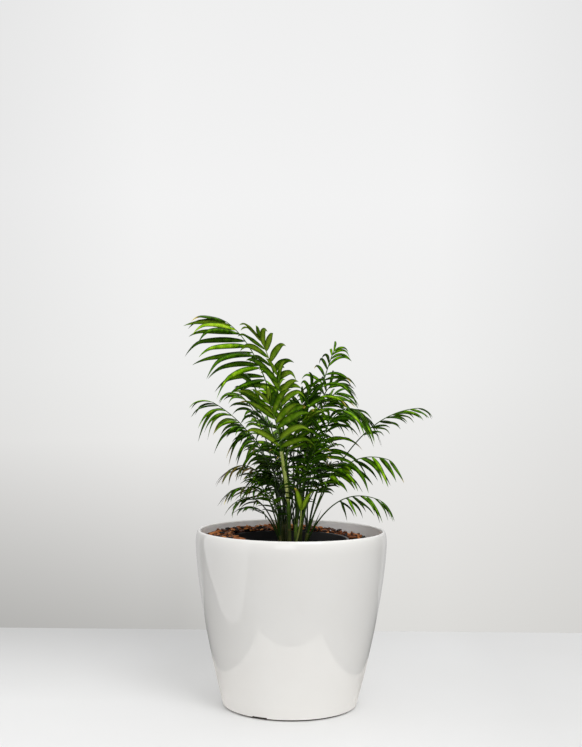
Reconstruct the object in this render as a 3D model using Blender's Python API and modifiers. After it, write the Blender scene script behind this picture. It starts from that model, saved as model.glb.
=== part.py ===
"""Potted parlor palm.

Twelve young parlor palms grow close together in a thin black nursery pot. That pot stands in a
tall glossy planter, with bark mulch packed under it and round it up to its rim, the way such
plants are set out in a room. Every palm is one solid: its cane, its leaf stalks and the leaflets
of its fronds. The canes stand in plain holes in the potting soil.

Metres, +Z up. The origin is the centre of the planter's foot, on the floor. -Y is the front.
"""

import math
import random
from collections import namedtuple

import bmesh
import bpy
from mathutils import Quaternion, Vector
from mathutils.bvhtree import BVHTree

MM = 0.001
UP = Vector((0.0, 0.0, 1.0))

# Space between two pieces that touch, and facets round each turned piece
GAP = 0.3 * MM
TURN_STEPS = 28
BOOLEAN_SOLVER = "MANIFOLD"

# Planter: drawn in towards its foot, with a rolled rim and a thin shadow gap above the floor
PLANTER_HEIGHT = 320 * MM
PLANTER_FOOT_RADIUS = 121.5 * MM
PLANTER_SHOULDER_RADIUS = 175.6 * MM
PLANTER_SHOULDER_HEIGHT = 300 * MM
PLANTER_TAPER = 1.5
PLANTER_CREST_RADIUS = 170 * MM
PLANTER_MOUTH_RADIUS = 166.5 * MM
PLANTER_WALL = 4 * MM
PLANTER_FLOOR = 9 * MM
PLANTER_OUTER_HEIGHTS = [298 * MM, 255 * MM, 205 * MM, 155 * MM, 105 * MM, 60 * MM, 25 * MM, 3 * MM]
PLANTER_INNER_HEIGHTS = [40 * MM, 95 * MM, 160 * MM, 240 * MM]
RIM_ARC_STEPS = 4
RIM_INNER_DROP = 4 * MM
SHADOW_GAP_HEIGHT = 3 * MM
SHADOW_GAP_DEPTH = 4 * MM

# Small notch in the foot, left of the front
NOTCH_ANGLE = math.radians(-116)
NOTCH_WIDTH = 30 * MM
NOTCH_HEIGHT = 5 * MM
NOTCH_DEPTH = 8 * MM

# Nursery pot, a little left of the planter's centre
NURSERY_CENTRE = -7 * MM
NURSERY_RIM_HEIGHT = 304 * MM
NURSERY_RIM_RADIUS = 113.5 * MM
NURSERY_LIP_HEIGHT = 9 * MM
NURSERY_LIP_DEPTH = 2.5 * MM
NURSERY_FOOT_HEIGHT = 104 * MM
NURSERY_FOOT_RADIUS = 86 * MM
NURSERY_WALL = 2 * MM
DRAIN_HOLES = 6
DRAIN_RADIUS = 6 * MM
DRAIN_CIRCLE_RADIUS = 60 * MM

# Bark mulch, which lies highest at the back left and lowest at the front right
BARK_HEIGHT = 299 * MM
BARK_TILT = 0.039
BARK_RINGS = [155 * MM, 137 * MM]
BARK_ROUGHNESS = 1.6 * MM
BARK_LUMP_HEIGHT = [2 * MM, 6 * MM]
BARK_SEED = 42
CHIP_COUNT = 12
CHIP_TURNS = 5
CHIP_RING = [126 * MM, 154 * MM]
CHIP_LENGTH = [14 * MM, 21 * MM]
CHIP_WIDTH = [8 * MM, 13 * MM]
CHIP_THICKNESS = [6 * MM, 9 * MM]
CHIP_RISE = [0.5 * MM, 2.5 * MM]
CHIP_TILT = 0.45

# Potting soil
SOIL_HEIGHT = 284 * MM
SOIL_RINGS = [85 * MM, 58 * MM, 30 * MM]
SOIL_ROUGHNESS = 1.5 * MM
SOIL_SEED = 43
HOLE_DEPTH = 30 * MM
HOLE_SIDES = 6

# Palms
CANE_ROUNDING = 1
CANE_FOOT_RADIUS = 3.2 * MM
CANE_TOP_RADIUS = 2.3 * MM
CANE_STEPS = 4
STALK_START_RADIUS = 1.7 * MM
STALK_TIP_RADIUS = 0.85 * MM
STALK_STEPS = 8

# Leaflets: a ridge along the upper face, edges a little lower, pointed at the far end. The longest
# stand at LONGEST_PLACE, a share of the blade, and those at its tip keep TIP_SPREAD from the stalk.
BLADE_THICKNESS = 0.9 * MM
BLADE_THINNING = 0.25
ROOT_WIDTH = 0.12
BLADE_CUTS = {"small": 2, "large": 3}
LARGE_LEAFLET = 61
LEAFLET_CLEARANCE = 0.5 * MM
LONGEST_PLACE = 0.4
LENGTH_FALL = 0.85
WIDTH_FALL = 0.6
BLADE_END = 0.995
TIP_SPREAD = 24
LEAFLET_STAGGER = 0.35
LEAFLET_SEED = 41

# How far leaflets differ: degrees of spread, lift and twist, and shares of length and droop
SPREAD_DRAW = 5
LIFT_DRAW = 6
TWIST_DRAW = 14
LENGTH_DRAW = 0.06
DROOP_DRAW = 0.25

# Swing along the stalk and lift, in degrees, that a leaflet tries until it is clear of the rest
SWINGS = [(0, 0), (7, 0), (-7, 0), (0, 9), (0, -9), (13, 9), (-13, -9), (13, -9), (-13, 9), (20, 0),
          (-20, 0), (0, 20), (0, -20), (26, 14), (-26, -14), (26, -14), (-26, 14)]

# A frond's stalk is one arch: it leaves the cane at the height `start`, rises towards `bend` and
# ends at `tip`. Leaflets grow from `blade`, a share of the arch, to its tip, in `pairs`. The
# longest is `length` long and `width` wide. They stand out from the stalk by `spread` degrees at
# the blade's foot, rise above its plane by `lift` degrees, or hang below it, and sag by `droop`
# of their length. `roll` turns the blade about its stalk, and none leaves it level. Lengths are
# millimetres. A frond with no pairs is a spear that hasn't opened.
Frond = namedtuple("Frond", "start bend tip blade pairs length width droop lift spread roll",
                   defaults=[0])
Palm = namedtuple("Palm", "name foot top fronds")

PALMS = [
    Palm("palm_tall_left", (-4, -6), (-7, -8, 405), [
        Frond(400, (-36, -20, 640), (-120, -38, 699), 0.50, 6, 96, 12, 0.36, -40, 60),
        Frond(385, (-15, -28, 592), (-60, -72, 670), 0.56, 6, 78, 13, 0.30, 10, 54),
        Frond(370, (-12, 25, 520), (-34, 78, 588), 0.50, 4, 60, 12, 0.25, 0, 60),
    ]),
    Palm("palm_centre", (-3, -26), (-20, -44, 466), [
        Frond(462, (-26, -56, 520), (-42, -88, 556), 0.10, 5, 94, 14, 0.20, 4, 66),
        Frond(425, (-8, -58, 500), (27, -84, 532), 0.35, 4, 64, 14, 0.24, 5, 60),
    ]),
    Palm("palm_left", (-14, 9), (-18, 11, 350), [
        Frond(345, (-45, 18, 497), (-150, 26, 553), 0.46, 7, 82, 8, 0.72, -24, 62),
        Frond(330, (-45, 0, 540), (-102, -8, 570), 0.50, 5, 54, 8, 0.48, -24, 60),
    ]),
    Palm("palm_low_left", (-17, -12), (-20, -15, 345), [
        Frond(340, (-58, -38, 470), (-114, -66, 432), 0.42, 7, 40, 6, 0.30, -20, 58),
        Frond(325, (-50, -56, 426), (-108, -92, 398), 0.42, 6, 38, 6, 0.30, -30, 58),
        Frond(335, (-42, -28, 486), (-92, -50, 510), 0.48, 5, 46, 8, 0.46, -20, 62),
    ]),
    Palm("palm_front_left", (-20, -32), (-22, -35, 315), [
        Frond(302, (-48, -64, 376), (-82, -92, 370), 0.42, 4, 36, 6, 0.20, -15, 48),
        Frond(310, (-26, -62, 380), (-44, -100, 398), 0.35, 5, 36, 7, 0.30, 0, 60),
        Frond(308, (-56, -46, 406), (-98, -74, 378), 0.45, 4, 36, 6, 0.30, -25, 58),
        Frond(312, (-38, -54, 396), (-70, -80, 424), 0.40, 5, 38, 6, 0.30, -10, 58),
    ]),
    Palm("palm_back_left", (-9, 25), (-12, 30, 350), [
        Frond(345, (-30, 42, 440), (-68, 60, 464), 0.45, 4, 44, 8, 0.30, -15, 60),
        Frond(335, (-24, 72, 480), (-56, 124, 520), 0.48, 4, 58, 11, 0.30, -10, 60),
        Frond(325, (-12, 72, 400), (-28, 120, 430), 0.42, 4, 48, 10, 0.35, -10, 60),
    ]),
    Palm("palm_tall_right", (8, 12), (12, 15, 380), [
        Frond(375, (46, 20, 574), (76, 22, 650), 0.50, 6, 62, 8, 0.62, 0, 62, 75),
        Frond(370, (36, 24, 550), (82, 36, 572), 0.52, 5, 58, 8, 0.56, -10, 60, 40),
        Frond(365, (8, 32, 508), (20, 44, 560), 0.50, 5, 58, 11, 0.22, 5, 56),
    ]),
    Palm("palm_back_right", (17, 28), (20, 32, 365), [
        Frond(360, (42, 42, 600), (88, 56, 590), 0.50, 6, 56, 8, 0.50, 0, 58, 60),
        Frond(350, (24, 78, 480), (42, 132, 525), 0.48, 4, 58, 11, 0.30, -10, 60),
        Frond(335, (44, 66, 400), (76, 108, 430), 0.42, 4, 48, 10, 0.35, -10, 60),
    ]),
    Palm("palm_right", (16, -3), (20, -5, 350), [
        Frond(345, (60, 2, 594), (132, -22, 532), 0.48, 6, 62, 9, 0.40, -36, 60),
        Frond(335, (50, -25, 450), (66, -62, 526), 0.40, 6, 84, 9, 0.56, 0, 68, -38),
    ]),
    Palm("palm_far_right", (28, 8), (31, 9, 325), [
        Frond(318, (110, -2, 537), (230, -22, 546), 0.55, 7, 44, 8, 0.22, -46, 36),
    ]),
    Palm("palm_low_right", (27, -19), (30, -22, 318), [
        Frond(314, (76, -46, 486), (174, -72, 454), 0.44, 6, 58, 10, 0.42, -58, 70),
        Frond(308, (58, -40, 420), (82, -56, 442), 0.62, 3, 44, 12, 0.50, -50, 62),
        Frond(300, (78, -52, 414), (158, -72, 382), 0.50, 5, 44, 7, 0.42, -44, 66),
        Frond(296, (40, -46, 330), (54, -56, 364), 0.50, 0, 0, 0, 0.0, 0, 0),
    ]),
    Palm("palm_front", (8, -31), (8, -33, 345), [
        Frond(330, (6, -56, 390), (14, -106, 436), 0.38, 6, 46, 7, 0.36, 0, 66),
        Frond(338, (22, -38, 430), (40, -70, 474), 0.45, 6, 52, 8, 0.44, 0, 66),
        Frond(340, (9, -32, 362), (13, -33, 386), 0.95, 1, 60, 16, 0.0, 0, 60),
        Frond(318, (24, -44, 348), (29, -48, 380), 0.50, 0, 0, 0, 0.0, 0, 0),
    ]),
]


def clear_scene():
    for obj in list(bpy.data.objects):
        bpy.data.objects.remove(obj, do_unlink=True)


def new_collection(name):
    collection = bpy.data.collections.new(name)
    bpy.context.scene.collection.children.link(collection)
    return collection


def new_material(name, colour, roughness):
    material = bpy.data.materials.new(name)
    material.use_nodes = True
    shader = material.node_tree.nodes["Principled BSDF"]
    shader.inputs["Base Color"].default_value = (*colour, 1.0)
    shader.inputs["Roughness"].default_value = roughness
    shader.inputs["Metallic"].default_value = 0.0
    return material


def new_object(name, mesh, collection, material=None):
    obj = bpy.data.objects.new(name, mesh)
    collection.objects.link(obj)
    if material is not None:
        obj.data.materials.append(material)
    return obj


def evaluated_mesh(obj):
    """The object's mesh with its modifiers applied."""
    bpy.context.view_layer.update()
    graph = bpy.context.evaluated_depsgraph_get()
    return bpy.data.meshes.new_from_object(obj.evaluated_get(graph))


def apply_modifiers(obj):
    obj.data = evaluated_mesh(obj)
    obj.modifiers.clear()


def shade(obj, angle=35):
    obj.data.shade_smooth()
    obj.data.set_sharp_from_angle(angle=math.radians(angle))


def keep_largest_body(mesh):
    """Drops loose scraps, and the skins of pockets that a union has sealed."""
    shape = bmesh.new()
    shape.from_mesh(mesh)
    unseen = set(shape.verts)
    bodies = []
    while unseen:
        body = set()
        reached = [unseen.pop()]
        while reached:
            vert = reached.pop()
            body.add(vert)
            for edge in vert.link_edges:
                other = edge.other_vert(vert)
                if other in unseen:
                    unseen.remove(other)
                    reached.append(other)
        bodies.append(body)
    bodies.sort(key=len)
    scraps = [vert for body in bodies[:-1] for vert in body]
    bmesh.ops.delete(shape, geom=scraps, context="VERTS")
    shape.to_mesh(mesh)
    shape.free()


def combine(obj, others, operation):
    """Joins the others to the object, or cuts them from it, and removes them."""
    helpers = new_collection(obj.name + " helpers")
    for other in others:
        for holder in list(other.users_collection):
            holder.objects.unlink(other)
        helpers.objects.link(other)
        other.hide_render = True
        other.display_type = "WIRE"
    boolean = obj.modifiers.new("combine", "BOOLEAN")
    boolean.operation = operation
    boolean.solver = BOOLEAN_SOLVER
    boolean.operand_type = "COLLECTION"
    boolean.collection = helpers
    apply_modifiers(obj)
    for other in others:
        bpy.data.objects.remove(other, do_unlink=True)
    bpy.data.collections.remove(helpers)
    keep_largest_body(obj.data)


# Turned pieces


def turned(name, profile, collection, material):
    """Turns a profile of (radius, height) about Z. It runs up the inside and down the outside."""
    mesh = bpy.data.meshes.new(name)
    points = [(radius, 0.0, height) for radius, height in profile]
    mesh.from_pydata(points, [(i, i + 1) for i in range(len(points) - 1)], [])
    obj = new_object(name, mesh, collection, material)
    screw = obj.modifiers.new("turn", "SCREW")
    screw.axis = "Z"
    screw.steps = TURN_STEPS
    screw.render_steps = TURN_STEPS
    screw.use_merge_vertices = True
    screw.merge_threshold = 0.05 * MM
    apply_modifiers(obj)
    return obj


def planter_outer_radius(height):
    rise = min(height / PLANTER_SHOULDER_HEIGHT, 1.0)
    spread = PLANTER_SHOULDER_RADIUS - PLANTER_FOOT_RADIUS
    return PLANTER_FOOT_RADIUS + spread * (1.0 - (1.0 - rise) ** PLANTER_TAPER)


def planter_inner_radius(height):
    return min(PLANTER_MOUTH_RADIUS, planter_outer_radius(height) - PLANTER_WALL)


def planter_rim():
    """A quarter of an ellipse from the crest of the rim down to the shoulder."""
    lowest = PLANTER_OUTER_HEIGHTS[0]
    across = planter_outer_radius(lowest) - PLANTER_CREST_RADIUS
    for step in range(RIM_ARC_STEPS):
        angle = math.radians(90 * step / RIM_ARC_STEPS)
        radius = PLANTER_CREST_RADIUS + across * math.sin(angle)
        yield radius, lowest + (PLANTER_HEIGHT - lowest) * math.cos(angle)


def foot_notch(collection):
    """The block that cuts the notch out of the foot."""
    bpy.ops.mesh.primitive_cube_add(size=1)
    block = bpy.context.object
    block.name = "foot notch cutter"
    direction = Vector((math.cos(NOTCH_ANGLE), math.sin(NOTCH_ANGLE), 0.0))
    block.location = direction * PLANTER_FOOT_RADIUS
    block.rotation_euler = (0.0, 0.0, NOTCH_ANGLE)
    block.scale = (2 * NOTCH_DEPTH, NOTCH_WIDTH, 2 * NOTCH_HEIGHT)
    for holder in list(block.users_collection):
        holder.objects.unlink(block)
    collection.objects.link(block)
    return block


def build_planter(parts, cutters):
    profile = [(0.0, PLANTER_FLOOR), (planter_inner_radius(PLANTER_FLOOR), PLANTER_FLOOR)]
    profile += [(planter_inner_radius(height), height) for height in PLANTER_INNER_HEIGHTS]
    profile.append((PLANTER_MOUTH_RADIUS, PLANTER_HEIGHT - RIM_INNER_DROP))
    profile += planter_rim()
    profile += [(planter_outer_radius(height), height) for height in PLANTER_OUTER_HEIGHTS]
    foot_radius = PLANTER_FOOT_RADIUS - SHADOW_GAP_DEPTH
    profile += [(foot_radius, SHADOW_GAP_HEIGHT), (foot_radius, 0.0), (0.0, 0.0)]
    planter = turned("planter", profile, parts, new_material("gloss white", (0.84, 0.83, 0.81), 0.12))
    combine(planter, [foot_notch(cutters)], "DIFFERENCE")
    shade(planter)


def nursery_outline(offset):
    """The nursery pot's outer side from its foot up to its rim, moved out by the offset."""
    wall_top = NURSERY_RIM_RADIUS - NURSERY_LIP_DEPTH
    lip_bottom = NURSERY_RIM_HEIGHT - NURSERY_LIP_HEIGHT
    return [
        (NURSERY_FOOT_RADIUS + offset, NURSERY_FOOT_HEIGHT - offset),
        (wall_top + offset, lip_bottom - offset),
        (NURSERY_RIM_RADIUS + offset, lip_bottom - offset),
    ]


def nursery_inner_radius(height):
    """Inner radius of the straight tapered wall."""
    top = NURSERY_RIM_RADIUS - NURSERY_LIP_DEPTH - NURSERY_WALL
    bottom = NURSERY_FOOT_RADIUS - NURSERY_WALL
    rise = (height - NURSERY_FOOT_HEIGHT) / (NURSERY_RIM_HEIGHT - NURSERY_FOOT_HEIGHT)
    return bottom + (top - bottom) * rise


def drain_holes(collection):
    holes = []
    for index in range(DRAIN_HOLES):
        angle = math.tau * index / DRAIN_HOLES
        shape = bmesh.new()
        bmesh.ops.create_cone(shape, cap_ends=True, segments=6, radius1=DRAIN_RADIUS,
                              radius2=DRAIN_RADIUS, depth=6 * NURSERY_WALL)
        mesh = bpy.data.meshes.new("drain hole")
        shape.to_mesh(mesh)
        shape.free()
        hole = new_object("drain hole cutter", mesh, collection)
        hole.location = (DRAIN_CIRCLE_RADIUS * math.cos(angle), DRAIN_CIRCLE_RADIUS * math.sin(angle),
                         NURSERY_FOOT_HEIGHT)
        holes.append(hole)
    return holes


def build_nursery_pot(parts, cutters):
    floor = NURSERY_FOOT_HEIGHT + NURSERY_WALL
    lip_inner = nursery_inner_radius(NURSERY_RIM_HEIGHT)
    profile = [(0.0, floor), (nursery_inner_radius(floor), floor), (lip_inner, NURSERY_RIM_HEIGHT),
               (NURSERY_RIM_RADIUS, NURSERY_RIM_HEIGHT)]
    profile += reversed(nursery_outline(0.0))
    profile.append((0.0, NURSERY_FOOT_HEIGHT))
    pot = turned("nursery_pot", profile, parts, new_material("black plastic", (0.012, 0.012, 0.013), 0.4))
    combine(pot, drain_holes(cutters), "DIFFERENCE")
    pot.location.x = NURSERY_CENTRE
    shade(pot)


# Bark mulch


def bark_surface(x, y):
    return BARK_HEIGHT + BARK_TILT * (y - x)


def bark_chips(collection, draw):
    """Flat chips strewn over the ring of mulch, each tipped and half sunk into it."""
    chips = []
    for index in range(CHIP_COUNT):
        angle = math.tau * (index + draw.uniform(-0.4, 0.4)) * CHIP_TURNS / CHIP_COUNT
        share = draw.random()
        radius = CHIP_RING[0] + (CHIP_RING[1] - CHIP_RING[0]) * share
        x = radius * math.cos(angle) + NURSERY_CENTRE * (1 - share)
        y = radius * math.sin(angle)
        mesh = bpy.data.meshes.new("chip")
        shape = bmesh.new()
        bmesh.ops.create_cube(shape, size=1)
        for vert in shape.verts:
            vert.co.x *= draw.uniform(*CHIP_LENGTH) * draw.uniform(0.8, 1.0)
            vert.co.y *= draw.uniform(*CHIP_WIDTH) * draw.uniform(0.8, 1.0)
            vert.co.z *= draw.uniform(*CHIP_THICKNESS)
        bmesh.ops.triangulate(shape, faces=shape.faces)
        shape.to_mesh(mesh)
        shape.free()
        chip = new_object("chip", mesh, collection)
        tilt = [draw.uniform(-CHIP_TILT, CHIP_TILT) for axis in "xyz"]
        chip.rotation_euler = (tilt[0], tilt[1], tilt[2] + angle + math.pi / 2)
        chip.location = (x, y, bark_surface(x, y) + draw.uniform(*CHIP_RISE))
        chips.append(chip)
    return chips


def outside_nursery_pot(face):
    middle = face.calc_center_median()
    return math.hypot(middle.x - NURSERY_CENTRE, middle.y) > NURSERY_RIM_RADIUS


def raise_lumps(mesh, draw):
    """Turns each field of the mulch's top into one rough lump."""
    shape = bmesh.new()
    shape.from_mesh(mesh)
    fields = [face for face in shape.faces if face.normal.z > 0.8 and outside_nursery_pot(face)]
    raised = bmesh.ops.poke(shape, faces=fields)
    for vert in raised["verts"]:
        vert.co.z += draw.uniform(*BARK_LUMP_HEIGHT)
    shape.to_mesh(mesh)
    shape.free()


def build_bark(parts, cutters):
    """Mulch from the planter's floor to just under its rim, with a seat for the nursery pot."""
    top_radius = PLANTER_MOUTH_RADIUS - GAP
    cavity = nursery_outline(GAP)
    profile = [(0.0, cavity[0][1])] + cavity
    profile.append((NURSERY_RIM_RADIUS + GAP, BARK_HEIGHT))
    profile += [(radius, BARK_HEIGHT) for radius in reversed(BARK_RINGS)]
    profile.append((top_radius, BARK_HEIGHT))
    profile += [(planter_inner_radius(height) - GAP, height) for height in reversed(PLANTER_INNER_HEIGHTS)]
    floor = PLANTER_FLOOR + GAP
    profile += [(planter_inner_radius(floor) - GAP, floor), (0.0, floor)]
    bark = turned("bark_mulch", profile, parts, new_material("bark", (0.20, 0.065, 0.022), 0.9))
    draw = random.Random(BARK_SEED)
    for vert in bark.data.vertices:
        radius = math.hypot(vert.co.x, vert.co.y)
        if radius < NURSERY_RIM_RADIUS + 2 * GAP and vert.co.z > NURSERY_FOOT_HEIGHT - 2 * GAP:
            vert.co.x += NURSERY_CENTRE
        if abs(vert.co.z - BARK_HEIGHT) < GAP:
            rough = draw.uniform(-BARK_ROUGHNESS, BARK_ROUGHNESS) if radius < top_radius - GAP else 0.0
            vert.co.z = bark_surface(vert.co.x, vert.co.y) + rough
    raise_lumps(bark.data, draw)
    combine(bark, bark_chips(cutters, draw), "UNION")
    shade(bark, 20)


# Potting soil


def build_soil(parts, cutters):
    bottom = NURSERY_FOOT_HEIGHT + NURSERY_WALL + GAP
    profile = [(0.0, SOIL_HEIGHT)] + [(radius, SOIL_HEIGHT) for radius in reversed(SOIL_RINGS)]
    profile += [(nursery_inner_radius(SOIL_HEIGHT) - GAP, SOIL_HEIGHT),
                (nursery_inner_radius(bottom) - GAP, bottom), (0.0, bottom)]
    soil = turned("soil", profile, parts, new_material("potting soil", (0.018, 0.013, 0.010), 0.95))
    draw = random.Random(SOIL_SEED)
    for vert in soil.data.vertices:
        radius = math.hypot(vert.co.x, vert.co.y)
        if vert.co.z > SOIL_HEIGHT - GAP and radius < SOIL_RINGS[0] + GAP:
            vert.co.z += draw.uniform(-SOIL_ROUGHNESS, SOIL_ROUGHNESS)
    soil.location.x = NURSERY_CENTRE
    holes = []
    for palm in PALMS:
        shape = bmesh.new()
        radius = (CANE_FOOT_RADIUS + GAP) / math.cos(math.pi / HOLE_SIDES)
        bmesh.ops.create_cone(shape, cap_ends=True, segments=HOLE_SIDES, radius1=radius, radius2=radius,
                              depth=2 * (HOLE_DEPTH + GAP))
        mesh = bpy.data.meshes.new("hole")
        shape.to_mesh(mesh)
        shape.free()
        hole = new_object("stem hole cutter", mesh, cutters)
        hole.location = (palm.foot[0] * MM, palm.foot[1] * MM, SOIL_HEIGHT)
        holes.append(hole)
    bpy.context.view_layer.update()
    combine(soil, holes, "DIFFERENCE")
    shade(soil, 20)


# Canes and leaf stalks


def arch_point(start, bend, tip, share):
    return start * (1 - share) ** 2 + bend * 2 * share * (1 - share) + tip * share ** 2


def arch_direction(start, bend, tip, share):
    return ((bend - start) * (1 - share) + (tip - bend) * share).normalized()


def millimetres(numbers):
    return Vector(numbers) * MM


def cane_points(palm):
    """Straight up out of its hole, then in one arch to its top."""
    foot = millimetres((*palm.foot, 0.0))
    bottom = foot + UP * (SOIL_HEIGHT - HOLE_DEPTH)
    surface = foot + UP * (SOIL_HEIGHT + 2 * MM)
    top = millimetres(palm.top)
    middle = foot + UP * (surface.z + top.z) / 2
    arch = [arch_point(surface, middle, top, step / CANE_STEPS) for step in range(CANE_STEPS + 1)]
    return [bottom] + arch


def point_at_height(points, height):
    for lower, upper in zip(points, points[1:]):
        if upper.z >= height:
            return lower.lerp(upper, (height - lower.z) / (upper.z - lower.z))
    return points[-1]


def tube(name, points, radii, rounding, collection):
    """A closed tube along the points, as a mesh."""
    curve = bpy.data.curves.new(name, "CURVE")
    curve.dimensions = "3D"
    curve.bevel_depth = radii[0]
    curve.bevel_resolution = rounding
    curve.use_fill_caps = True
    spline = curve.splines.new("POLY")
    spline.points.add(len(points) - 1)
    for place, point, radius in zip(spline.points, points, radii):
        place.co = (*point, 1.0)
        place.radius = radius / radii[0]
    guide = new_object(name + " guide", curve, collection)
    mesh = evaluated_mesh(guide)
    shape = bmesh.new()
    shape.from_mesh(mesh)
    bmesh.ops.remove_doubles(shape, verts=shape.verts, dist=0.001 * MM)
    bmesh.ops.recalc_face_normals(shape, faces=shape.faces)
    bmesh.ops.triangulate(shape, faces=shape.faces)
    shape.to_mesh(mesh)
    shape.free()
    obj = new_object(name, mesh, collection)
    obj.matrix_world = guide.matrix_world
    bpy.data.objects.remove(guide, do_unlink=True)
    return obj


def tapered(first, last, count):
    return [first + (last - first) * index / (count - 1) for index in range(count)]


class Stalk:
    """The arch of one frond, with the blade's own directions along it."""

    def __init__(self, palm, frond):
        self.start = point_at_height(cane_points(palm), frond.start * MM)
        self.bend = millimetres(frond.bend)
        self.tip = millimetres(frond.tip)
        ahead = self.tip - self.start
        ahead.z = 0.0
        self.ahead = ahead.normalized()
        self.roll = math.radians(frond.roll)
        self.points = [arch_point(self.start, self.bend, self.tip, step / STALK_STEPS)
                       for step in range(STALK_STEPS + 1)]

    def place(self, share):
        """A point on the axis of the stalk as it is built, in straight lengths."""
        step = min(int(share * STALK_STEPS), STALK_STEPS - 1)
        return self.points[step].lerp(self.points[step + 1], share * STALK_STEPS - step)

    def directions(self, share):
        """Along the stalk, out of the blade's upper face, and to the right of the blade."""
        along = arch_direction(self.start, self.bend, self.tip, share)
        upper = UP - self.ahead * 0.5
        upper = Quaternion(along, self.roll) @ (upper - along * upper.dot(along)).normalized()
        return along, upper, along.cross(upper)


# Leaflets


def blade_template(cuts):
    """A three-sided bar one unit long and high and two wide, cut across, pointed at its far end."""
    shape = bmesh.new()
    bmesh.ops.create_cone(shape, cap_ends=True, segments=3, radius1=1, radius2=1, depth=1)
    bmesh.ops.translate(shape, verts=shape.verts, vec=(0, 0, 0.5))
    bmesh.ops.scale(shape, verts=shape.verts, vec=(1 / math.sin(math.pi / 3), 1 / 1.5, 1))
    lengthwise = [edge for edge in shape.edges
                  if abs(edge.verts[0].co.z - edge.verts[1].co.z) > 0.5]
    bmesh.ops.subdivide_edges(shape, edges=lengthwise, cuts=cuts)
    point = [vert for vert in shape.verts if vert.co.z > 0.99]
    bmesh.ops.pointmerge(shape, verts=point, merge_co=(0, 0, 1))
    bmesh.ops.triangulate(shape, faces=shape.faces)
    mesh = bpy.data.meshes.new("leaflet")
    shape.to_mesh(mesh)
    shape.free()
    return mesh


def blade_width(share):
    """Width along a leaflet, as a share of its widest: a narrow root, then a lance shape."""
    return ROOT_WIDTH * (1 - share) + max(math.sin(math.pi * share ** 0.85), 0.0) ** 0.75


def leaflet_places(pairs):
    """(side, place) from the lowest pair to the two at the tip, the sides a little staggered."""
    for pair in range(pairs - 1):
        yield -1, pair / (pairs - 1)
        yield 1, (pair + LEAFLET_STAGGER) / (pairs - 1)
    if pairs:
        yield -1, 1.0
        yield 1, 1.0


class Leaflet:
    """One leaflet's place, direction and size on its frond."""

    def __init__(self, frond, stalk, side, place, draw):
        share = frond.blade + (BLADE_END - frond.blade) * place
        from_longest = (place - LONGEST_PLACE) ** 2
        self.root = stalk.place(share)
        self.along, self.upper, self.right = stalk.directions(share)
        self.side = side
        spread = frond.spread + (TIP_SPREAD - frond.spread) * place
        self.spread = spread + SPREAD_DRAW * draw.uniform(-1, 1)
        self.lift = frond.lift + LIFT_DRAW * draw.uniform(-1, 1)
        longest = frond.length * MM * (1 + LENGTH_DRAW * draw.uniform(-1, 1))
        self.length = longest * (1 - LENGTH_FALL * from_longest)
        self.width = frond.width * MM * (1 - WIDTH_FALL * from_longest)
        self.droop = frond.droop * (1 + DROOP_DRAW * draw.uniform(-1, 1))
        self.twist = math.radians(TWIST_DRAW * draw.uniform(-1, 1))

    def points(self, template, swing, margin):
        """The template's corners, moved to where this leaflet has them."""
        spread = math.radians(self.spread + swing[0])
        lift = math.radians(self.lift + swing[1])
        outward = self.right * self.side * math.cos(lift) + self.upper * math.sin(lift)
        heading = self.along * math.cos(spread) + outward * math.sin(spread)
        face = self.upper * math.cos(lift) - self.right * self.side * math.sin(lift)
        found = []
        for corner in template.vertices:
            share = corner.co.z
            middle = self.root + (heading * share - UP * self.droop * share ** 2) * self.length
            forward = (heading - UP * 2 * self.droop * share).normalized()
            across = Quaternion(forward, self.twist * share) @ face.cross(forward).normalized()
            above = forward.cross(across)
            half_width = (self.width * blade_width(share) / 2 + margin) * corner.co.x
            height = (BLADE_THICKNESS * (1 - BLADE_THINNING * share) + 2 * margin) * corner.co.y
            if share > 0.99:
                middle = middle + forward * margin
                half_width = height = 0.0
            found.append(middle + across * half_width + above * height)
        return found


def is_clear(points, template, neighbours):
    faces = [list(polygon.vertices) for polygon in template.polygons]
    return not BVHTree.FromPolygons(points, faces).overlap(neighbours)


def tree_of(objects):
    points = []
    faces = []
    for obj in objects:
        first = len(points)
        points += [obj.matrix_world @ vert.co for vert in obj.data.vertices]
        faces += [[first + index for index in polygon.vertices] for polygon in obj.data.polygons]
    return BVHTree.FromPolygons(points, faces)


def grow_leaflets(palm, number, frond, neighbours, templates, collection):
    """The leaflets of one frond, each swung clear of every other frond and cane, or left out."""
    draw = random.Random(f"{LEAFLET_SEED} {palm.name} {number}")
    stalk = Stalk(palm, frond)
    template = templates["large" if frond.length > LARGE_LEAFLET else "small"]
    leaflets = []
    for side, place in leaflet_places(frond.pairs):
        leaflet = Leaflet(frond, stalk, side, place, draw)
        for swing in SWINGS:
            if is_clear(leaflet.points(template, swing, LEAFLET_CLEARANCE), template, neighbours):
                mesh = template.copy()
                for vert, point in zip(mesh.vertices, leaflet.points(template, swing, 0.0)):
                    vert.co = point
                leaflets.append(new_object(f"{palm.name} leaflet", mesh, collection))
                break
    return leaflets


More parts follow.
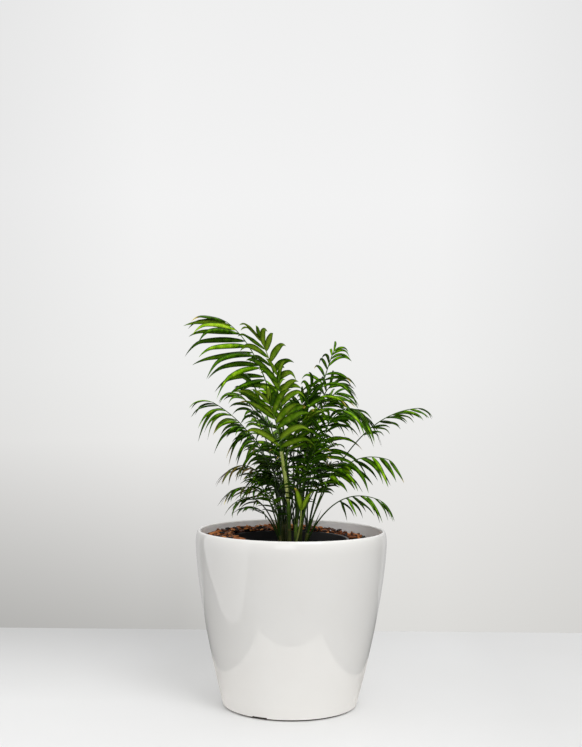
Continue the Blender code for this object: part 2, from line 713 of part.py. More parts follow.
def build_palms(parts, cutters):
    canes = {}
    stalks = {}
    for palm in PALMS:
        points = cane_points(palm)
        radii = tapered(CANE_FOOT_RADIUS, CANE_TOP_RADIUS, len(points))
        canes[palm.name] = tube(palm.name, points, radii, CANE_ROUNDING, parts)
        for number, frond in enumerate(palm.fronds):
            points = Stalk(palm, frond).points
            radii = tapered(STALK_START_RADIUS, STALK_TIP_RADIUS, len(points))
            stalks[palm.name, number] = tube(f"{palm.name} stalk", points, radii, 0, cutters)
    bpy.context.view_layer.update()

    templates = {size: blade_template(cuts) for size, cuts in BLADE_CUTS.items()}
    leaflets = {}
    for palm in PALMS:
        for number, frond in enumerate(palm.fronds):
            own = (palm.name, number)
            others = [obj for key, obj in stalks.items() if key != own] + list(canes.values())
            others += [obj for grown in leaflets.values() for obj in grown]
            neighbours = tree_of(others)
            leaflets[own] = grow_leaflets(palm, number, frond, neighbours, templates, cutters)

    leaf_green = new_material("leaf green", (0.045, 0.13, 0.018), 0.35)
    for palm in PALMS:
        palm_object = canes[palm.name]
        pieces = [obj for key, obj in stalks.items() if key[0] == palm.name]
        for key, grown in leaflets.items():
            if key[0] == palm.name:
                pieces += grown
        combine(palm_object, pieces, "UNION")
        palm_object.data.materials.clear()
        palm_object.data.materials.append(leaf_green)
        shade(palm_object)


def main():
    clear_scene()
    parts = new_collection("potted parlor palm")
    cutters = new_collection("cutters")
    build_planter(parts, cutters)
    build_nursery_pot(parts, cutters)
    build_bark(parts, cutters)
    build_soil(parts, cutters)
    build_palms(parts, cutters)


main()
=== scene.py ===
import math
import random

import bmesh
import bpy
import numpy as np
from mathutils import Matrix, Quaternion, Vector, noise
from mathutils.bvhtree import BVHTree


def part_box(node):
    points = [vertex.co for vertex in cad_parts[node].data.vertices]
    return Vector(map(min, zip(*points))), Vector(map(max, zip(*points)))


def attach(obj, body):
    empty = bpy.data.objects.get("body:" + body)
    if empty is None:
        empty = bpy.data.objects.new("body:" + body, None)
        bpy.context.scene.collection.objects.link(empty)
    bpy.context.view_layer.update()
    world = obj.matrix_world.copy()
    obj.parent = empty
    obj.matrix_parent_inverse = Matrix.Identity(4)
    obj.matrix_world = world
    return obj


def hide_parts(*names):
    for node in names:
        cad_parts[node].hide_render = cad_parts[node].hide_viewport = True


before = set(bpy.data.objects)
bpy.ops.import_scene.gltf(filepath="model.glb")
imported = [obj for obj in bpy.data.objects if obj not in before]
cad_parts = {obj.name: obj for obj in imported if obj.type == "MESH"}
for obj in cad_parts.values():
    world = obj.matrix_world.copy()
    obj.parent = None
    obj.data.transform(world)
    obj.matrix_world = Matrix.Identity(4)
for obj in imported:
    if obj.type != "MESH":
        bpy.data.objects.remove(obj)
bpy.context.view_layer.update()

mm = 0.001
up = Vector((0.0, 0.0, 1.0))
gap = 0.3 * mm  # space between two pieces that touch
weld = 0.02 * mm  # corners of a turned shape that are closer than this become one


# Small helpers


def linear(hexColour):
    # sRGB hex to the linear colour that shaders read
    channels = [int(hexColour[first:first + 2], 16) / 255 for first in (1, 3, 5)]
    return [c / 12.92 if c <= 0.04045 else ((c + 0.055) / 1.055) ** 2.4 for c in channels] + [1.0]


def perMetre(sizeMm):
    # texture scale for a feature of this size
    return 1000 / sizeMm


def feed(node, inputs):
    # each input takes a value, another node's output, or a node for its first output in use
    for name, value in inputs.items():
        if isinstance(value, bpy.types.Node):
            value = next(output for output in value.outputs if output.enabled)
        if isinstance(value, bpy.types.NodeSocket):
            node.id_data.links.new(value, node.inputs[name])
        else:
            node.inputs[name].default_value = value


def addNode(tree, kind, inputs=None, stops=None, ends=None, **settings):
    # the kind is a shader node's; stops are a ramp's (place, colour) pairs, and ends are a Map
    # Range's two (place, result) pairs
    node = tree.nodes.new("ShaderNode" + kind)
    for name, value in settings.items():
        setattr(node, name, value)
    feed(node, inputs or {})
    if stops:
        elements = node.color_ramp.elements
        elements[0].position, elements[0].color = stops[0][0], linear(stops[0][1])
        elements[1].position, elements[1].color = stops[-1][0], linear(stops[-1][1])
        for place, colour in stops[1:-1]:
            elements.new(place).color = linear(colour)
    for side, (place, result) in zip(("Min", "Max"), ends or ()):
        feed(node, {"From " + side: place, "To " + side: result})
    return node


def newMaterial(name, colour, roughness, ior):
    # gives the material, its nodes, its shader and the coordinates of the object that wears it
    material = bpy.data.materials.new(name)
    material.use_nodes = True
    tree = material.node_tree
    shader = tree.nodes["Principled BSDF"]
    feed(shader, {"Base Color": linear(colour), "Roughness": roughness, "IOR": ior})
    return material, tree, shader, addNode(tree, "TexCoord").outputs["Object"]


def newObject(name, data):
    obj = bpy.data.objects.new(name, data)
    bpy.context.scene.collection.objects.link(obj)
    return obj


def meshObject(name, corners, faces, *materials, edges=()):
    mesh = bpy.data.meshes.new(name)
    mesh.from_pydata(corners, edges, faces)
    for material in materials:
        mesh.materials.append(material)
    return newObject(name, mesh)


def tubeFaces(rings, sides):
    # the faces of a closed tube whose corners stand in rings, with its two flat ends
    faces = []
    for ring in range(rings - 1):
        for side in range(sides):
            a, b = ring * sides + side, ring * sides + (side + 1) % sides
            faces.append((a, b, b + sides, a + sides))
    return faces + [tuple(reversed(range(sides))), tuple(range((rings - 1) * sides, rings * sides))]


def joined(shapes):
    # all corners and all faces of some (corners, faces) shapes
    corners, faces = [], []
    for points, shapeFaces in shapes:
        first = len(corners)
        corners += np.asarray(points).tolist()
        faces += [[first + index for index in face] for face in shapeFaces]
    return corners, faces


def addValues(mesh, name, values):
    # a number at each corner of the mesh, for a material to read
    mesh.attributes.new(name, "FLOAT", "POINT").data.foreach_set("value", values)


def addCoordinates(mesh, name, places):
    # the UV map that has each corner of the mesh at its place
    corners = np.empty(len(mesh.loops), dtype=np.int32)
    mesh.loops.foreach_get("vertex_index", corners)
    mesh.uv_layers.new(name=name).data.foreach_set("uv", np.asarray(places)[corners].ravel())


def appliedMesh(obj):
    # puts the object's modifiers into its mesh
    graph = bpy.context.evaluated_depsgraph_get()
    mesh = bpy.data.meshes.new_from_object(obj.evaluated_get(graph))
    obj.modifiers.clear()
    obj.data = mesh


def shadeSmooth(obj, angle):
    obj.data.shade_smooth()
    obj.data.set_sharp_from_angle(angle=math.radians(angle))


def turned(name, profile, steps, material):
    # turns a profile of (radius, height), up the inside and down the outside, about Z
    edges = [(i, i + 1) for i in range(len(profile) - 1)]
    obj = meshObject(name, [(r, 0, z) for r, z in profile], [], material, edges=edges)
    screw = obj.modifiers.new("turn", "SCREW")
    screw.steps = screw.render_steps = steps
    screw.use_merge_vertices = True
    screw.merge_threshold = weld
    appliedMesh(obj)
    return obj


def cut(obj, cutters):
    bpy.context.view_layer.update()
    for cutter in cutters:
        boolean = obj.modifiers.new("cut", "BOOLEAN")
        boolean.operation = "DIFFERENCE"
        boolean.object = cutter
    appliedMesh(obj)
    for cutter in cutters:
        bpy.data.objects.remove(cutter, do_unlink=True)


def finishPiece(piece, node):
    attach(piece, "root")
    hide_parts(node)


# Camera, at the place and height that the photograph was taken from

cameraSettings = {
    "place": (-0.0034, -2.22, 0.593),
    "pitch": 90.37,
    "roll": 0.54,
    "focalPixels": 1203.5,
    "imageHeight": 747,
    "sensor": 36.0,
}


def makeCamera():
    data = bpy.data.cameras.new("camera")
    data.sensor_fit = "VERTICAL"
    data.sensor_height = cameraSettings["sensor"]
    data.lens = cameraSettings["focalPixels"] * cameraSettings["sensor"] / cameraSettings["imageHeight"]
    camera = newObject("camera", data)
    pitch = Matrix.Rotation(math.radians(cameraSettings["pitch"]), 4, "X")
    roll = Matrix.Rotation(math.radians(cameraSettings["roll"]), 4, "Z")
    camera.matrix_world = Matrix.Translation(cameraSettings["place"]) @ pitch @ roll
    bpy.context.scene.camera = camera


# Studio: a white floor that ends at a white wall, with a large soft light at the upper right and a
# weaker one in front. The wall is the world itself, so that it never hides the plant from another
# side. What the gloss of the pot reflects is a pale board under it, a darker room round that, and a
# tall folded card at the left. A fade is two (place, value) pairs, in metres.

studioSettings = {
    "floor": (-4.0, -5.0, 4.0, 0.65),  # left, near, right and far edge
    "floorTones": ("#e8e8e8", "#e4e4e3"),
    "floorCloud": 300,  # mm
    "towardsWall": ((0.0, 0.0), (0.65, 1.0)),
    "shadeByWall": ((-0.20, 0.27), (0.35, 0.02)),  # from the left to the right
    "shadeAtRight": ((0.10, 0.0), (0.45, 0.11)),
    "board": (-0.25, -0.35, 0.24, 0.30),
    "boardHeight": 0.2 * mm,
    "boardColour": "#fff8f1",
    "boardGlow": ((0.14, 1.3), (0.34, 1.45)),  # away from the pot's axis
    "boardFade": ((-0.10, 1.0), (0.06, 0.42)),  # from the front to the back
    "roomGlow": ((0, 0.16), (1, 0.56)),  # as the gloss shows it, and as it lights
    "reflector": [(-1.17, -1.07), (-0.66, -0.56), (-0.47, -0.32), (-0.43, -0.20), (-0.47, -0.11),
                  (-0.57, -0.01), (-0.77, 0.14), (-1.50, 0.95)],
    "reflectorHeights": (1 * mm, 1.4),
    "reflectorGlow": 1.15,
    "softboxes": {"key": ((0.80, -1.65, 2.1), 1.1, 22.5), "fill": ((-0.35, -2.9, 1.15), 1.2, 9.5)},
    "softboxAim": (0.0, 0.0, 0.35),
}

# a fade of the world runs along one part of a direction: x to the right, y to the back, z up, or
# aside to either side
worldSettings = {
    "fades": {
        "height": ("z", (-0.20, 0.0), (0.30, 1.0)),
        "left": ("x", (0.06, 0.0), (-0.09, 1.0)),
        "low": ("z", (-0.05, 0.0), (-0.20, 0.30)),
        "edge": ("aside", (0.12, 0.0), (0.23, 0.08)),
        "sky": ("z", (0.05, 0.06), (0.60, 0.98)),
        "wallGlow": ("y", (0.70, 0.0), (0.82, 0.45)),
    },
    "wallTones": [(0.0, "#dcdbd8"), (0.2, "#e6e5e3"), (0.42, "#eeeeed"), (0.7, "#f2f2f2"), (1.0, "#efefef")],
    "wallStrength": 1.005,
}


def rectangle(left, near, right, far, height):
    return [(left, near, height), (right, near, height), (right, far, height), (left, far, height)]


def glowMaterial(name, strength, colour="#ffffff"):
    material, tree, shader, place = newMaterial(name, colour, 0.5, 1.5)
    glow = addNode(tree, "Emission", {"Color": linear(colour), "Strength": strength})
    feed(tree.nodes["Material Output"], {0: glow})
    return material, tree, glow, place


def onlyReflected(obj, diffuse=False):
    obj.visible_camera = False
    obj.visible_diffuse = diffuse
    obj.visible_shadow = False
    obj.visible_transmission = False


def makeFloor():
    # matt paper: even, pale and quite without gloss, with painted shade that darkens it towards the wall and
    # the right
    s = studioSettings
    pale, dull = s["floorTones"]
    material, tree, shader, place = newMaterial("matt white paper", pale, 1.0, 1.45)
    cloud = addNode(tree, "TexNoise", {"Vector": place, "Scale": perMetre(s["floorCloud"])})
    tone = addNode(tree, "Mix", {0: cloud, 6: linear(pale), 7: linear(dull)}, data_type="RGBA")
    x, y = addNode(tree, "SeparateXYZ", {0: place}).outputs[:2]
    towardsWall = addNode(tree, "MapRange", {0: y}, ends=s["towardsWall"])
    byWall = addNode(tree, "MapRange", {0: x}, ends=s["shadeByWall"])
    atRight = addNode(tree, "MapRange", {0: x}, ends=s["shadeAtRight"])
    # painted shade: darker towards the wall, most at the left, and towards the right
    dark = addNode(tree, "Math", {0: towardsWall, 1: byWall, 2: atRight}, operation="MULTIPLY_ADD")
    shaded = addNode(tree, "Mix", {0: dark, 6: tone, 7: linear("#000000")}, data_type="RGBA")
    feed(shader, {"Base Color": shaded, "Specular IOR Level": 0.0})
    meshObject("floor", rectangle(*s["floor"], 0.0), [(0, 1, 2, 3)], material)


def makeRoomFloor():
    # a dim room round the board. It throws back more light than the gloss shows, and the paper
    # below sees through its underside
    s = studioSettings
    room, tree, glow, place = glowMaterial("dim room round the board", 1.0)
    diffuse = addNode(tree, "LightPath").outputs["Is Diffuse Ray"]
    feed(glow, {"Strength": addNode(tree, "MapRange", {0: diffuse}, ends=s["roomGlow"])})
    below = addNode(tree, "NewGeometry").outputs["Backfacing"]
    clear = addNode(tree, "BsdfTransparent")
    sides = addNode(tree, "MixShader", {0: below, 1: glow, 2: clear})
    feed(tree.nodes["Material Output"], {0: sides})
    height = s["boardHeight"]
    corners = rectangle(*s["floor"], height) + rectangle(*s["board"], height)
    faces = [(0, 1, 5, 4), (1, 2, 6, 5), (2, 3, 7, 6), (3, 0, 4, 7)]
    onlyReflected(meshObject("room_floor", corners, faces, room), diffuse=True)


def makeBoard():
    # the board glows a little less close to the pot, and much less behind it
    s = studioSettings
    board, tree, glow, place = glowMaterial("brightly lit board", 1.0, s["boardColour"])
    reach = addNode(tree, "VectorMath", {0: place}, operation="LENGTH")
    depth = addNode(tree, "SeparateXYZ", {0: place}).outputs[1]
    nearPot = addNode(tree, "MapRange", {0: reach}, ends=s["boardGlow"])
    behind = addNode(tree, "MapRange", {0: depth}, ends=s["boardFade"])
    feed(glow, {"Strength": addNode(tree, "Math", {0: nearPot, 1: behind}, operation="MULTIPLY")})
    corners = rectangle(*s["board"], s["boardHeight"])
    onlyReflected(meshObject("board", corners, [(0, 1, 2, 3)], board))


def makeReflector():
    plan = studioSettings["reflector"]
    corners = [(x, y, z) for x, y in plan for z in studioSettings["reflectorHeights"]]
    faces = [(2 * i, 2 * i + 2, 2 * i + 3, 2 * i + 1) for i in range(len(plan) - 1)]
    card = glowMaterial("folded white reflector card", studioSettings["reflectorGlow"])[0]
    onlyReflected(meshObject("reflector", corners, faces, card))


def softbox(name, place, size, power):
    data = bpy.data.lights.new(name, "AREA")
    data.size = size
    data.energy = power
    light = newObject(name, data)
    light.location = place
    aim = Vector(studioSettings["softboxAim"]) - light.location
    light.rotation_euler = aim.to_track_quat("-Z", "Y").to_euler()


def makeWorld():
    # the camera sees a white wall with painted shade that darkens it towards the floor, more so at the
    # left, and a little at both sides; the plant is lit by a pale sky overhead, the wall behind it and a
    # dimmer room round it
    world = bpy.data.worlds.new("studio")
    bpy.context.scene.world = world
    world.use_nodes = True
    tree = world.node_tree
    tree.nodes.clear()
    direction = addNode(tree, "TexCoord").outputs["Generated"]
    parts = dict(zip("xyz", addNode(tree, "SeparateXYZ", {0: direction}).outputs))
    parts["aside"] = addNode(tree, "Math", {0: parts["x"]}, operation="ABSOLUTE")
    fades = {}
    for name, (part, *ends) in worldSettings["fades"].items():
        fades[name] = addNode(tree, "MapRange", {0: parts[part]}, ends=ends)
    wall = addNode(tree, "ValToRGB", {0: fades["height"]}, stops=worldSettings["wallTones"])
    # painted shade on the wall: darker low at the left, and a little towards both sides
    lowLeftShade = addNode(tree, "Math", {0: fades["left"], 1: fades["low"]}, operation="MULTIPLY")
    bright = addNode(tree, "Math", {0: worldSettings["wallStrength"], 1: fades["edge"]},
                     operation="SUBTRACT")
    share = addNode(tree, "Math", {0: bright, 1: lowLeftShade}, operation="SUBTRACT")
    backdrop = addNode(tree, "Background", {"Color": wall, "Strength": share})
    total = addNode(tree, "Math", {0: fades["sky"], 1: fades["wallGlow"]}, operation="ADD")
    studio = addNode(tree, "Background", {"Color": linear("#ffffff"), "Strength": total})
    seen = addNode(tree, "LightPath").outputs["Is Camera Ray"]
    mix = addNode(tree, "MixShader", {0: seen, 1: studio, 2: backdrop})
    addNode(tree, "OutputWorld", {0: mix})


def makeStudio():
    makeFloor()
    makeRoomFloor()
    makeBoard()
    makeReflector()
    for name, (place, size, power) in studioSettings["softboxes"].items():
        softbox(name, place, size, power)
    makeWorld()
    bpy.context.scene.view_settings.view_transform = "Standard"
    print("camera and studio ready")


# Planter

planterSettings = {
    "steps": 192,
    "wallSteps": (12, 6),  # mm between the rings of the inner and of the outer face
    "height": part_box("planter")[1].z,
    "shoulderRadius": 175.6 * mm,
    "shoulderHeight": 300 * mm,
    "footRadius": 121.5 * mm,
    "taper": 1.5,  # 1 would be a straight side
    "crestRadius": 170 * mm,
    "mouthRadius": 166.5 * mm,
    "wall": 4 * mm,
    "floor": 9 * mm,
    "shoulderEdge": 298 * mm,
    "rimDrop": 4 * mm,
    "shadowGap": (4 * mm, 3 * mm),  # depth and rise
    "edgeRound": 0.8 * mm,
    "footBevel": 0.5 * mm,
    "notchAngle": -116,
    "notchSize": (4.2 * mm, 30 * mm, 5 * mm),  # depth, width and rise
}


def planterOuter(height):
    p = planterSettings
    rise = min(height / p["shoulderHeight"], 1.0)
    spread = p["shoulderRadius"] - p["footRadius"]
    return p["footRadius"] + spread * (1.0 - (1.0 - rise) ** p["taper"])


def planterInner(height):
    return min(planterSettings["mouthRadius"], planterOuter(height) - planterSettings["wall"])


def around(radius, angle):
    return radius * math.cos(angle), radius * math.sin(angle)


def quarterArc(centre, acrossStart, acrossEnd, steps):
    # a quarter ellipse between two arms, each (radius, height) from the centre
    for step in range(steps + 1):
        turn = math.pi / 2 * step / steps
        yield tuple(c + a * math.cos(turn) + b * math.sin(turn)
                    for c, a, b in zip(centre, acrossStart, acrossEnd))


def planterPlastic():
    # Polypropylene moulded against polished steel: a plain white with a clear wet gloss, which wavers
    # a little over centimetres where the skin cooled unevenly, and a few duller patches from handling
    material, tree, shader, place = newMaterial("moulded gloss polypropylene", "#f2f1ed", 0.015, 1.52)
    skin = addNode(tree, "TexNoise", {"Vector": place, "Scale": perMetre(26), "Detail": 1.0})
    wave = addNode(tree, "Bump", {"Height": skin, "Strength": 0.12, "Distance": 0.12 * mm})
    hands = addNode(tree, "TexNoise", {"Vector": place, "Scale": perMetre(70), "Detail": 4.0})
    dull = addNode(tree, "MapRange", {0: hands}, ends=((0.45, 0.005), (0.75, 0.03)))
    warm = addNode(tree, "Mix", {0: hands, 6: linear("#f4f3f0"), 7: linear("#f1efeb")},
                   data_type="RGBA")
    feed(shader, {"Base Color": warm, "Roughness": dull, "Normal": wave})
    return material


def gapShadeMaterial():
    # Painted shade: a dull, near-black material on the faces set back in the shadow gap under the foot and
    # in the notch, mottled a little lighter
    material, tree, shader, place = newMaterial("painted shade in the foot gap", "#2a211b", 0.8, 1.5)
    dust = addNode(tree, "TexNoise", {"Vector": place, "Scale": perMetre(3), "Detail": 3.0})
    feed(shader, {"Base Color": addNode(tree, "ValToRGB", {0: dust}, stops=[
        (0.3, "#17110d"), (0.6, "#2a211b"), (0.9, "#51453b")])})
    return material


def insidePlastic():
    # The unpolished inner face of the same moulding: clean, bright and matt
    material, tree, shader, place = newMaterial("matt inner face of the moulding", "#fafaf9", 0.55, 1.5)
    stain = addNode(tree, "TexNoise", {"Vector": place, "Scale": perMetre(40), "Detail": 4.0})
    feed(shader, {"Base Color": addNode(tree, "Mix", {
        0: stain, 6: linear("#fcfcfc"), 7: linear("#f6f5f3")}, data_type="RGBA")})
    return material


def planterProfile():
    p = planterSettings
    innerStep, outerStep = p["wallSteps"]
    shoulder, crest, edge = round(p["shoulderHeight"] / mm), p["crestRadius"], p["shoulderEdge"]
    inner = [(0.0, p["floor"]), (planterInner(p["floor"]), p["floor"])]
    inner += [(planterInner(z * mm), z * mm) for z in range(innerStep, shoulder, innerStep)]
    rim = list(quarterArc((crest, p["height"] - p["rimDrop"]), (p["mouthRadius"] - crest, 0),
                          (0, p["rimDrop"]), 8))
    rim += list(quarterArc((crest, edge), (0, p["height"] - edge), (planterOuter(edge) - crest, 0), 20))[1:]
    outer = [(planterOuter(z * mm), z * mm) for z in range(shoulder - outerStep, outerStep, -outerStep)]
    depth, rise = p["shadowGap"]
    bead, bevel, foot = p["edgeRound"], p["footBevel"], p["footRadius"] - depth
    outer += list(quarterArc((planterOuter(rise) - bead, rise + bead), (bead, 0), (0, -bead), 4))
    return inner + rim + outer + [(foot, rise), (foot, bevel), (foot - bevel, 0.0), (0.0, 0.0)]


def faceMaterial(face):
    # 0 is the gloss outside, 1 the painted shade in the shadow gap and the notch, 2 the matt inside
    p = planterSettings
    x, y, z = face.center
    reach = math.hypot(x, y)
    facesOut = (face.normal.x * x + face.normal.y * y) / max(reach, mm)
    depth, width, rise = p["notchSize"]
    flat = 0.9  # the upward part of a level face's normal
    ring = p["footRadius"] - p["shadowGap"][0] - depth
    if z < rise + 0.1 * mm and ring < reach < p["footRadius"] - 0.5 * mm and abs(face.normal.z) < flat:
        return 1
    inside = p["floor"] - gap < z < p["height"] - p["rimDrop"]
    return 2 if inside and (facesOut < -0.5 or face.normal.z > flat) else 0


def makePlanter():
    p = planterSettings
    planter = turned("planter_shell", planterProfile(), p["steps"], planterPlastic())
    bpy.ops.mesh.primitive_cube_add(size=1)
    block = bpy.context.object
    depth, width, rise = p["notchSize"]
    block.scale = (2 * depth, width, 2 * rise)
    angle = math.radians(p["notchAngle"])
    block.rotation_euler.z = angle
    block.location = (*around(p["footRadius"], angle), 0)
    cut(planter, [block])
    # painted shade for the faces set back in the shadow gap and the notch
    planter.data.materials.append(gapShadeMaterial())
    planter.data.materials.append(insidePlastic())
    for face in planter.data.polygons:
        face.material_index = faceMaterial(face)
    shadeSmooth(planter, 30)
    finishPiece(planter, "planter")
    print("planter done")


# Nursery pot

nurserySettings = {
    "steps": 128,
    "centre": -7 * mm,
    "rimHeight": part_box("nursery_pot")[1].z,
    "footHeight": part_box("nursery_pot")[0].z,
    "rimRadius": 113.5 * mm,
    "footRadius": 86 * mm,
    "lipHeight": 9 * mm,
    "lipDepth": 2.5 * mm,
    "lipRound": 0.8 * mm,
    "wall": 2 * mm,
    "innerRings": (16, 192),  # mm between two, and where they end
    "outerRings": 10,
    "drainHoles": 6,
    "drainRadius": 6 * mm,
    "drainCircle": 60 * mm,
}


def nurseryInner(height):
    n = nurserySettings
    top = n["rimRadius"] - n["lipDepth"] - n["wall"]
    bottom = n["footRadius"] - n["wall"]
    return bottom + (top - bottom) * (height - n["footHeight"]) / (n["rimHeight"] - n["footHeight"])


def nurseryPlastic():
    # Recycled polyethylene pressed thin: black with a waxy half gloss, greyer where dust lies
    material, tree, shader, place = newMaterial("pressed black polyethylene", "#060606", 0.45, 1.51)
    dust = addNode(tree, "TexNoise", {"Vector": place, "Scale": perMetre(9), "Detail": 6.0})
    colour = addNode(tree, "ValToRGB", {0: dust}, stops=[
        (0.35, "#020202"), (0.60, "#060606"), (0.85, "#151411")])
    rough = addNode(tree, "MapRange", {0: dust}, ends=((0, 0.35), (1, 0.6)))
    grit = addNode(tree, "TexNoise", {"Vector": place, "Scale": perMetre(1.2)})
    bump = addNode(tree, "Bump", {"Height": grit, "Strength": 0.2, "Distance": 0.1 * mm})
    feed(shader, {"Base Color": colour, "Roughness": rough, "Normal": bump, "Specular IOR Level": 0.25})
    return material


def nurseryProfile():
    n = nurserySettings
    floor, foot = n["footHeight"] + n["wall"], n["footHeight"]
    top, bead = n["rimHeight"], n["lipRound"]
    lipBottom, wallTop = top - n["lipHeight"], n["rimRadius"] - n["lipDepth"]
    step, end = n["innerRings"]
    profile = [(0.0, floor), (nurseryInner(floor), floor)]
    profile += [(nurseryInner(floor + z * mm), floor + z * mm) for z in range(step, end, step)]
    profile += quarterArc((nurseryInner(top) + bead, top - bead), (-bead, 0), (0, bead), 4)
    profile += quarterArc((n["rimRadius"] - bead, top - bead), (0, bead), (bead, 0), 4)
    profile += [(n["rimRadius"], lipBottom + bead), (n["rimRadius"] - bead / 2, lipBottom)]
    rings, inward, down = n["outerRings"], n["footRadius"] - wallTop, foot - lipBottom
    profile += [(wallTop + inward * ring / rings, lipBottom + down * ring / rings)
                for ring in range(rings + 1)]
    return profile + [(0.0, foot)]


def makeNurseryPot():
    n = nurserySettings
    pot = turned("nursery_pot_shell", nurseryProfile(), n["steps"], nurseryPlastic())
    holes = []
    for index in range(n["drainHoles"]):
        x, y = around(n["drainCircle"], math.tau * index / n["drainHoles"])
        bpy.ops.mesh.primitive_cylinder_add(vertices=32, radius=n["drainRadius"], depth=6 * n["wall"],
                                            location=(x, y, n["footHeight"]))
        holes.append(bpy.context.object)
    cut(pot, holes)
    pot.data.transform(Matrix.Translation((n["centre"], 0, 0)))
    shadeSmooth(pot, 30)
    finishPiece(pot, "nursery_pot")
    print("nursery pot done")


# Bark mulch: one rough bed that fills the planter, and loose chips heaped on it

barkSettings = {
    "seed": 42,
    "steps": 144,
    "rings": 22,
    "sideRings": (270, 9, -20),  # mm, from the top down
    "height": 297 * mm,
    "tilt": 0.039,  # rises by this share to the back and to the left
    "heap": (-100 * mm, -62 * mm, 50 * mm, 7 * mm),  # x, y, reach and rise
    "roughness": 3.0 * mm,
    "lumpSize": 14,
    "smoothEdge": 4 * mm,
    "chips": 1350,
    "triesPerChip": 8,
    "chipRings": 6,
    "chipSides": 8,
    "chipLength": (7, 17),
    "chipWidth": (4.5, 10),
    "chipThickness": (2.0, 5.2),
    "chipLean": 0.3,  # this and the bow as shares of its length
    "chipBow": 0.12,
    "chipRagged": (0.03, 0.09),  # between its ends and at them, as shares of its length
    "chipEnds": 0.45,  # narrower and thinner there, as a share of its middle
    "chipUneven": ((0.82, 1.1), (0.7, 1.15)),  # its width and its thickness
    "chipTones": (-0.1, 0.1, 0.3, 0.4, 0.5, 0.6, 0.7),
    "toneChange": 0.06,
    "bedTone": (0.22, 0.3, 8),  # its mean, its change and the size of a patch in mm
    "grainShift": 37,  # mm from one chip's grain to the next one's
    "overPotRim": 13 * mm,  # how far a high chip may reach in over the nursery pot
    "strewnInside": 9 * mm,
    "layers": 12 * mm,
    "wallDip": 4 * mm,
    "steepChips": 0.22,
    "tilts": (0.1925, 0.55),  # radians, of a flat and of a steep chip
    "topMost": 316 * mm,
}


def barkSurface(x, y):
    heapX, heapY, reach, rise = barkSettings["heap"]
    heap = rise * math.exp(-((x - heapX) ** 2 + (y - heapY) ** 2) / reach ** 2)
    return barkSettings["height"] + barkSettings["tilt"] * (y - x) + heap


def pineBark():
    # Shredded pine bark, dried: torn along its grain, rust brown to ginger where it is fresh and near
    # black where it is weathered, quite without gloss
    material, tree, shader, solid = newMaterial("shredded pine bark", "#6b331a", 0.88, 1.45)
    tone = addNode(tree, "Attribute", attribute_name="chipTone").outputs["Fac"]
    place = addNode(tree, "UVMap", uv_map="grain")
    # the grain's UV is in millimetres along and across a chip; fibres are 0.6 mm wide and 5 mm long
    stretch = addNode(tree, "Mapping", {"Vector": place, "Scale": (1 / 5, 1 / 0.6, 1)})
    fibre = addNode(tree, "TexNoise", {"Vector": stretch, "Scale": 1.0, "Detail": 4.0})
    blotch = addNode(tree, "TexNoise", {"Vector": solid, "Scale": perMetre(5), "Detail": 3.0})
    fibred = addNode(tree, "Math", {0: fibre, 1: 0.55, 2: tone}, operation="MULTIPLY_ADD")
    blotched = addNode(tree, "Math", {0: blotch, 1: 0.35, 2: fibred}, operation="MULTIPLY_ADD")
    shift = addNode(tree, "Math", {0: blotched, 1: 0.45}, operation="SUBTRACT")
    colour = addNode(tree, "ValToRGB", {0: shift}, stops=[
        (0.10, "#0b0604"), (0.28, "#2c150a"), (0.42, "#713a16"), (0.62, "#b26a2c"), (0.82, "#cf8f4e"),
        (1.0, "#e0b483")])
    bump = addNode(tree, "Bump", {"Height": fibre, "Strength": 0.8, "Distance": 0.5 * mm})
    feed(shader, {"Base Color": colour, "Normal": bump})
    return material


def barkBed(material):
    b = barkSettings
    n, seat = nurserySettings, gap
    lipBottom = n["rimHeight"] - n["lipHeight"] - seat
    rimOut = n["rimRadius"] + seat
    outerRadius = planterSettings["mouthRadius"] - seat
    level, rings = b["height"], b["rings"]
    profile = [(0.0, n["footHeight"] - seat), (n["footRadius"] + seat, n["footHeight"] - seat),
               (n["rimRadius"] - n["lipDepth"] + seat, lipBottom), (rimOut, lipBottom)]
    profile += [(rimOut + (outerRadius - rimOut) * ring / rings, level) for ring in range(rings + 1)]
    profile += [(planterInner(z * mm) - seat, z * mm) for z in range(*b["sideRings"])]
    bottom = planterSettings["floor"] + seat
    profile += [(planterInner(bottom) - seat, bottom), (0.0, bottom)]
    bed = turned("bark_bed", profile, b["steps"], material)
    for vert in bed.data.vertices:
        radius = math.hypot(vert.co.x, vert.co.y)
        if radius < rimOut + seat and vert.co.z > n["footHeight"] - 2 * seat:
            vert.co.x += n["centre"]
        if abs(vert.co.z - level) < gap:
            inside = min(radius - rimOut, outerRadius - radius) / b["smoothEdge"]
            rough = noise.fractal(vert.co * perMetre(b["lumpSize"]), 1.0, 2.0, 3)
            rough = rough * b["roughness"] * min(max(inside, 0), 1)
            vert.co.z = barkSurface(vert.co.x, vert.co.y) + rough
    return bed


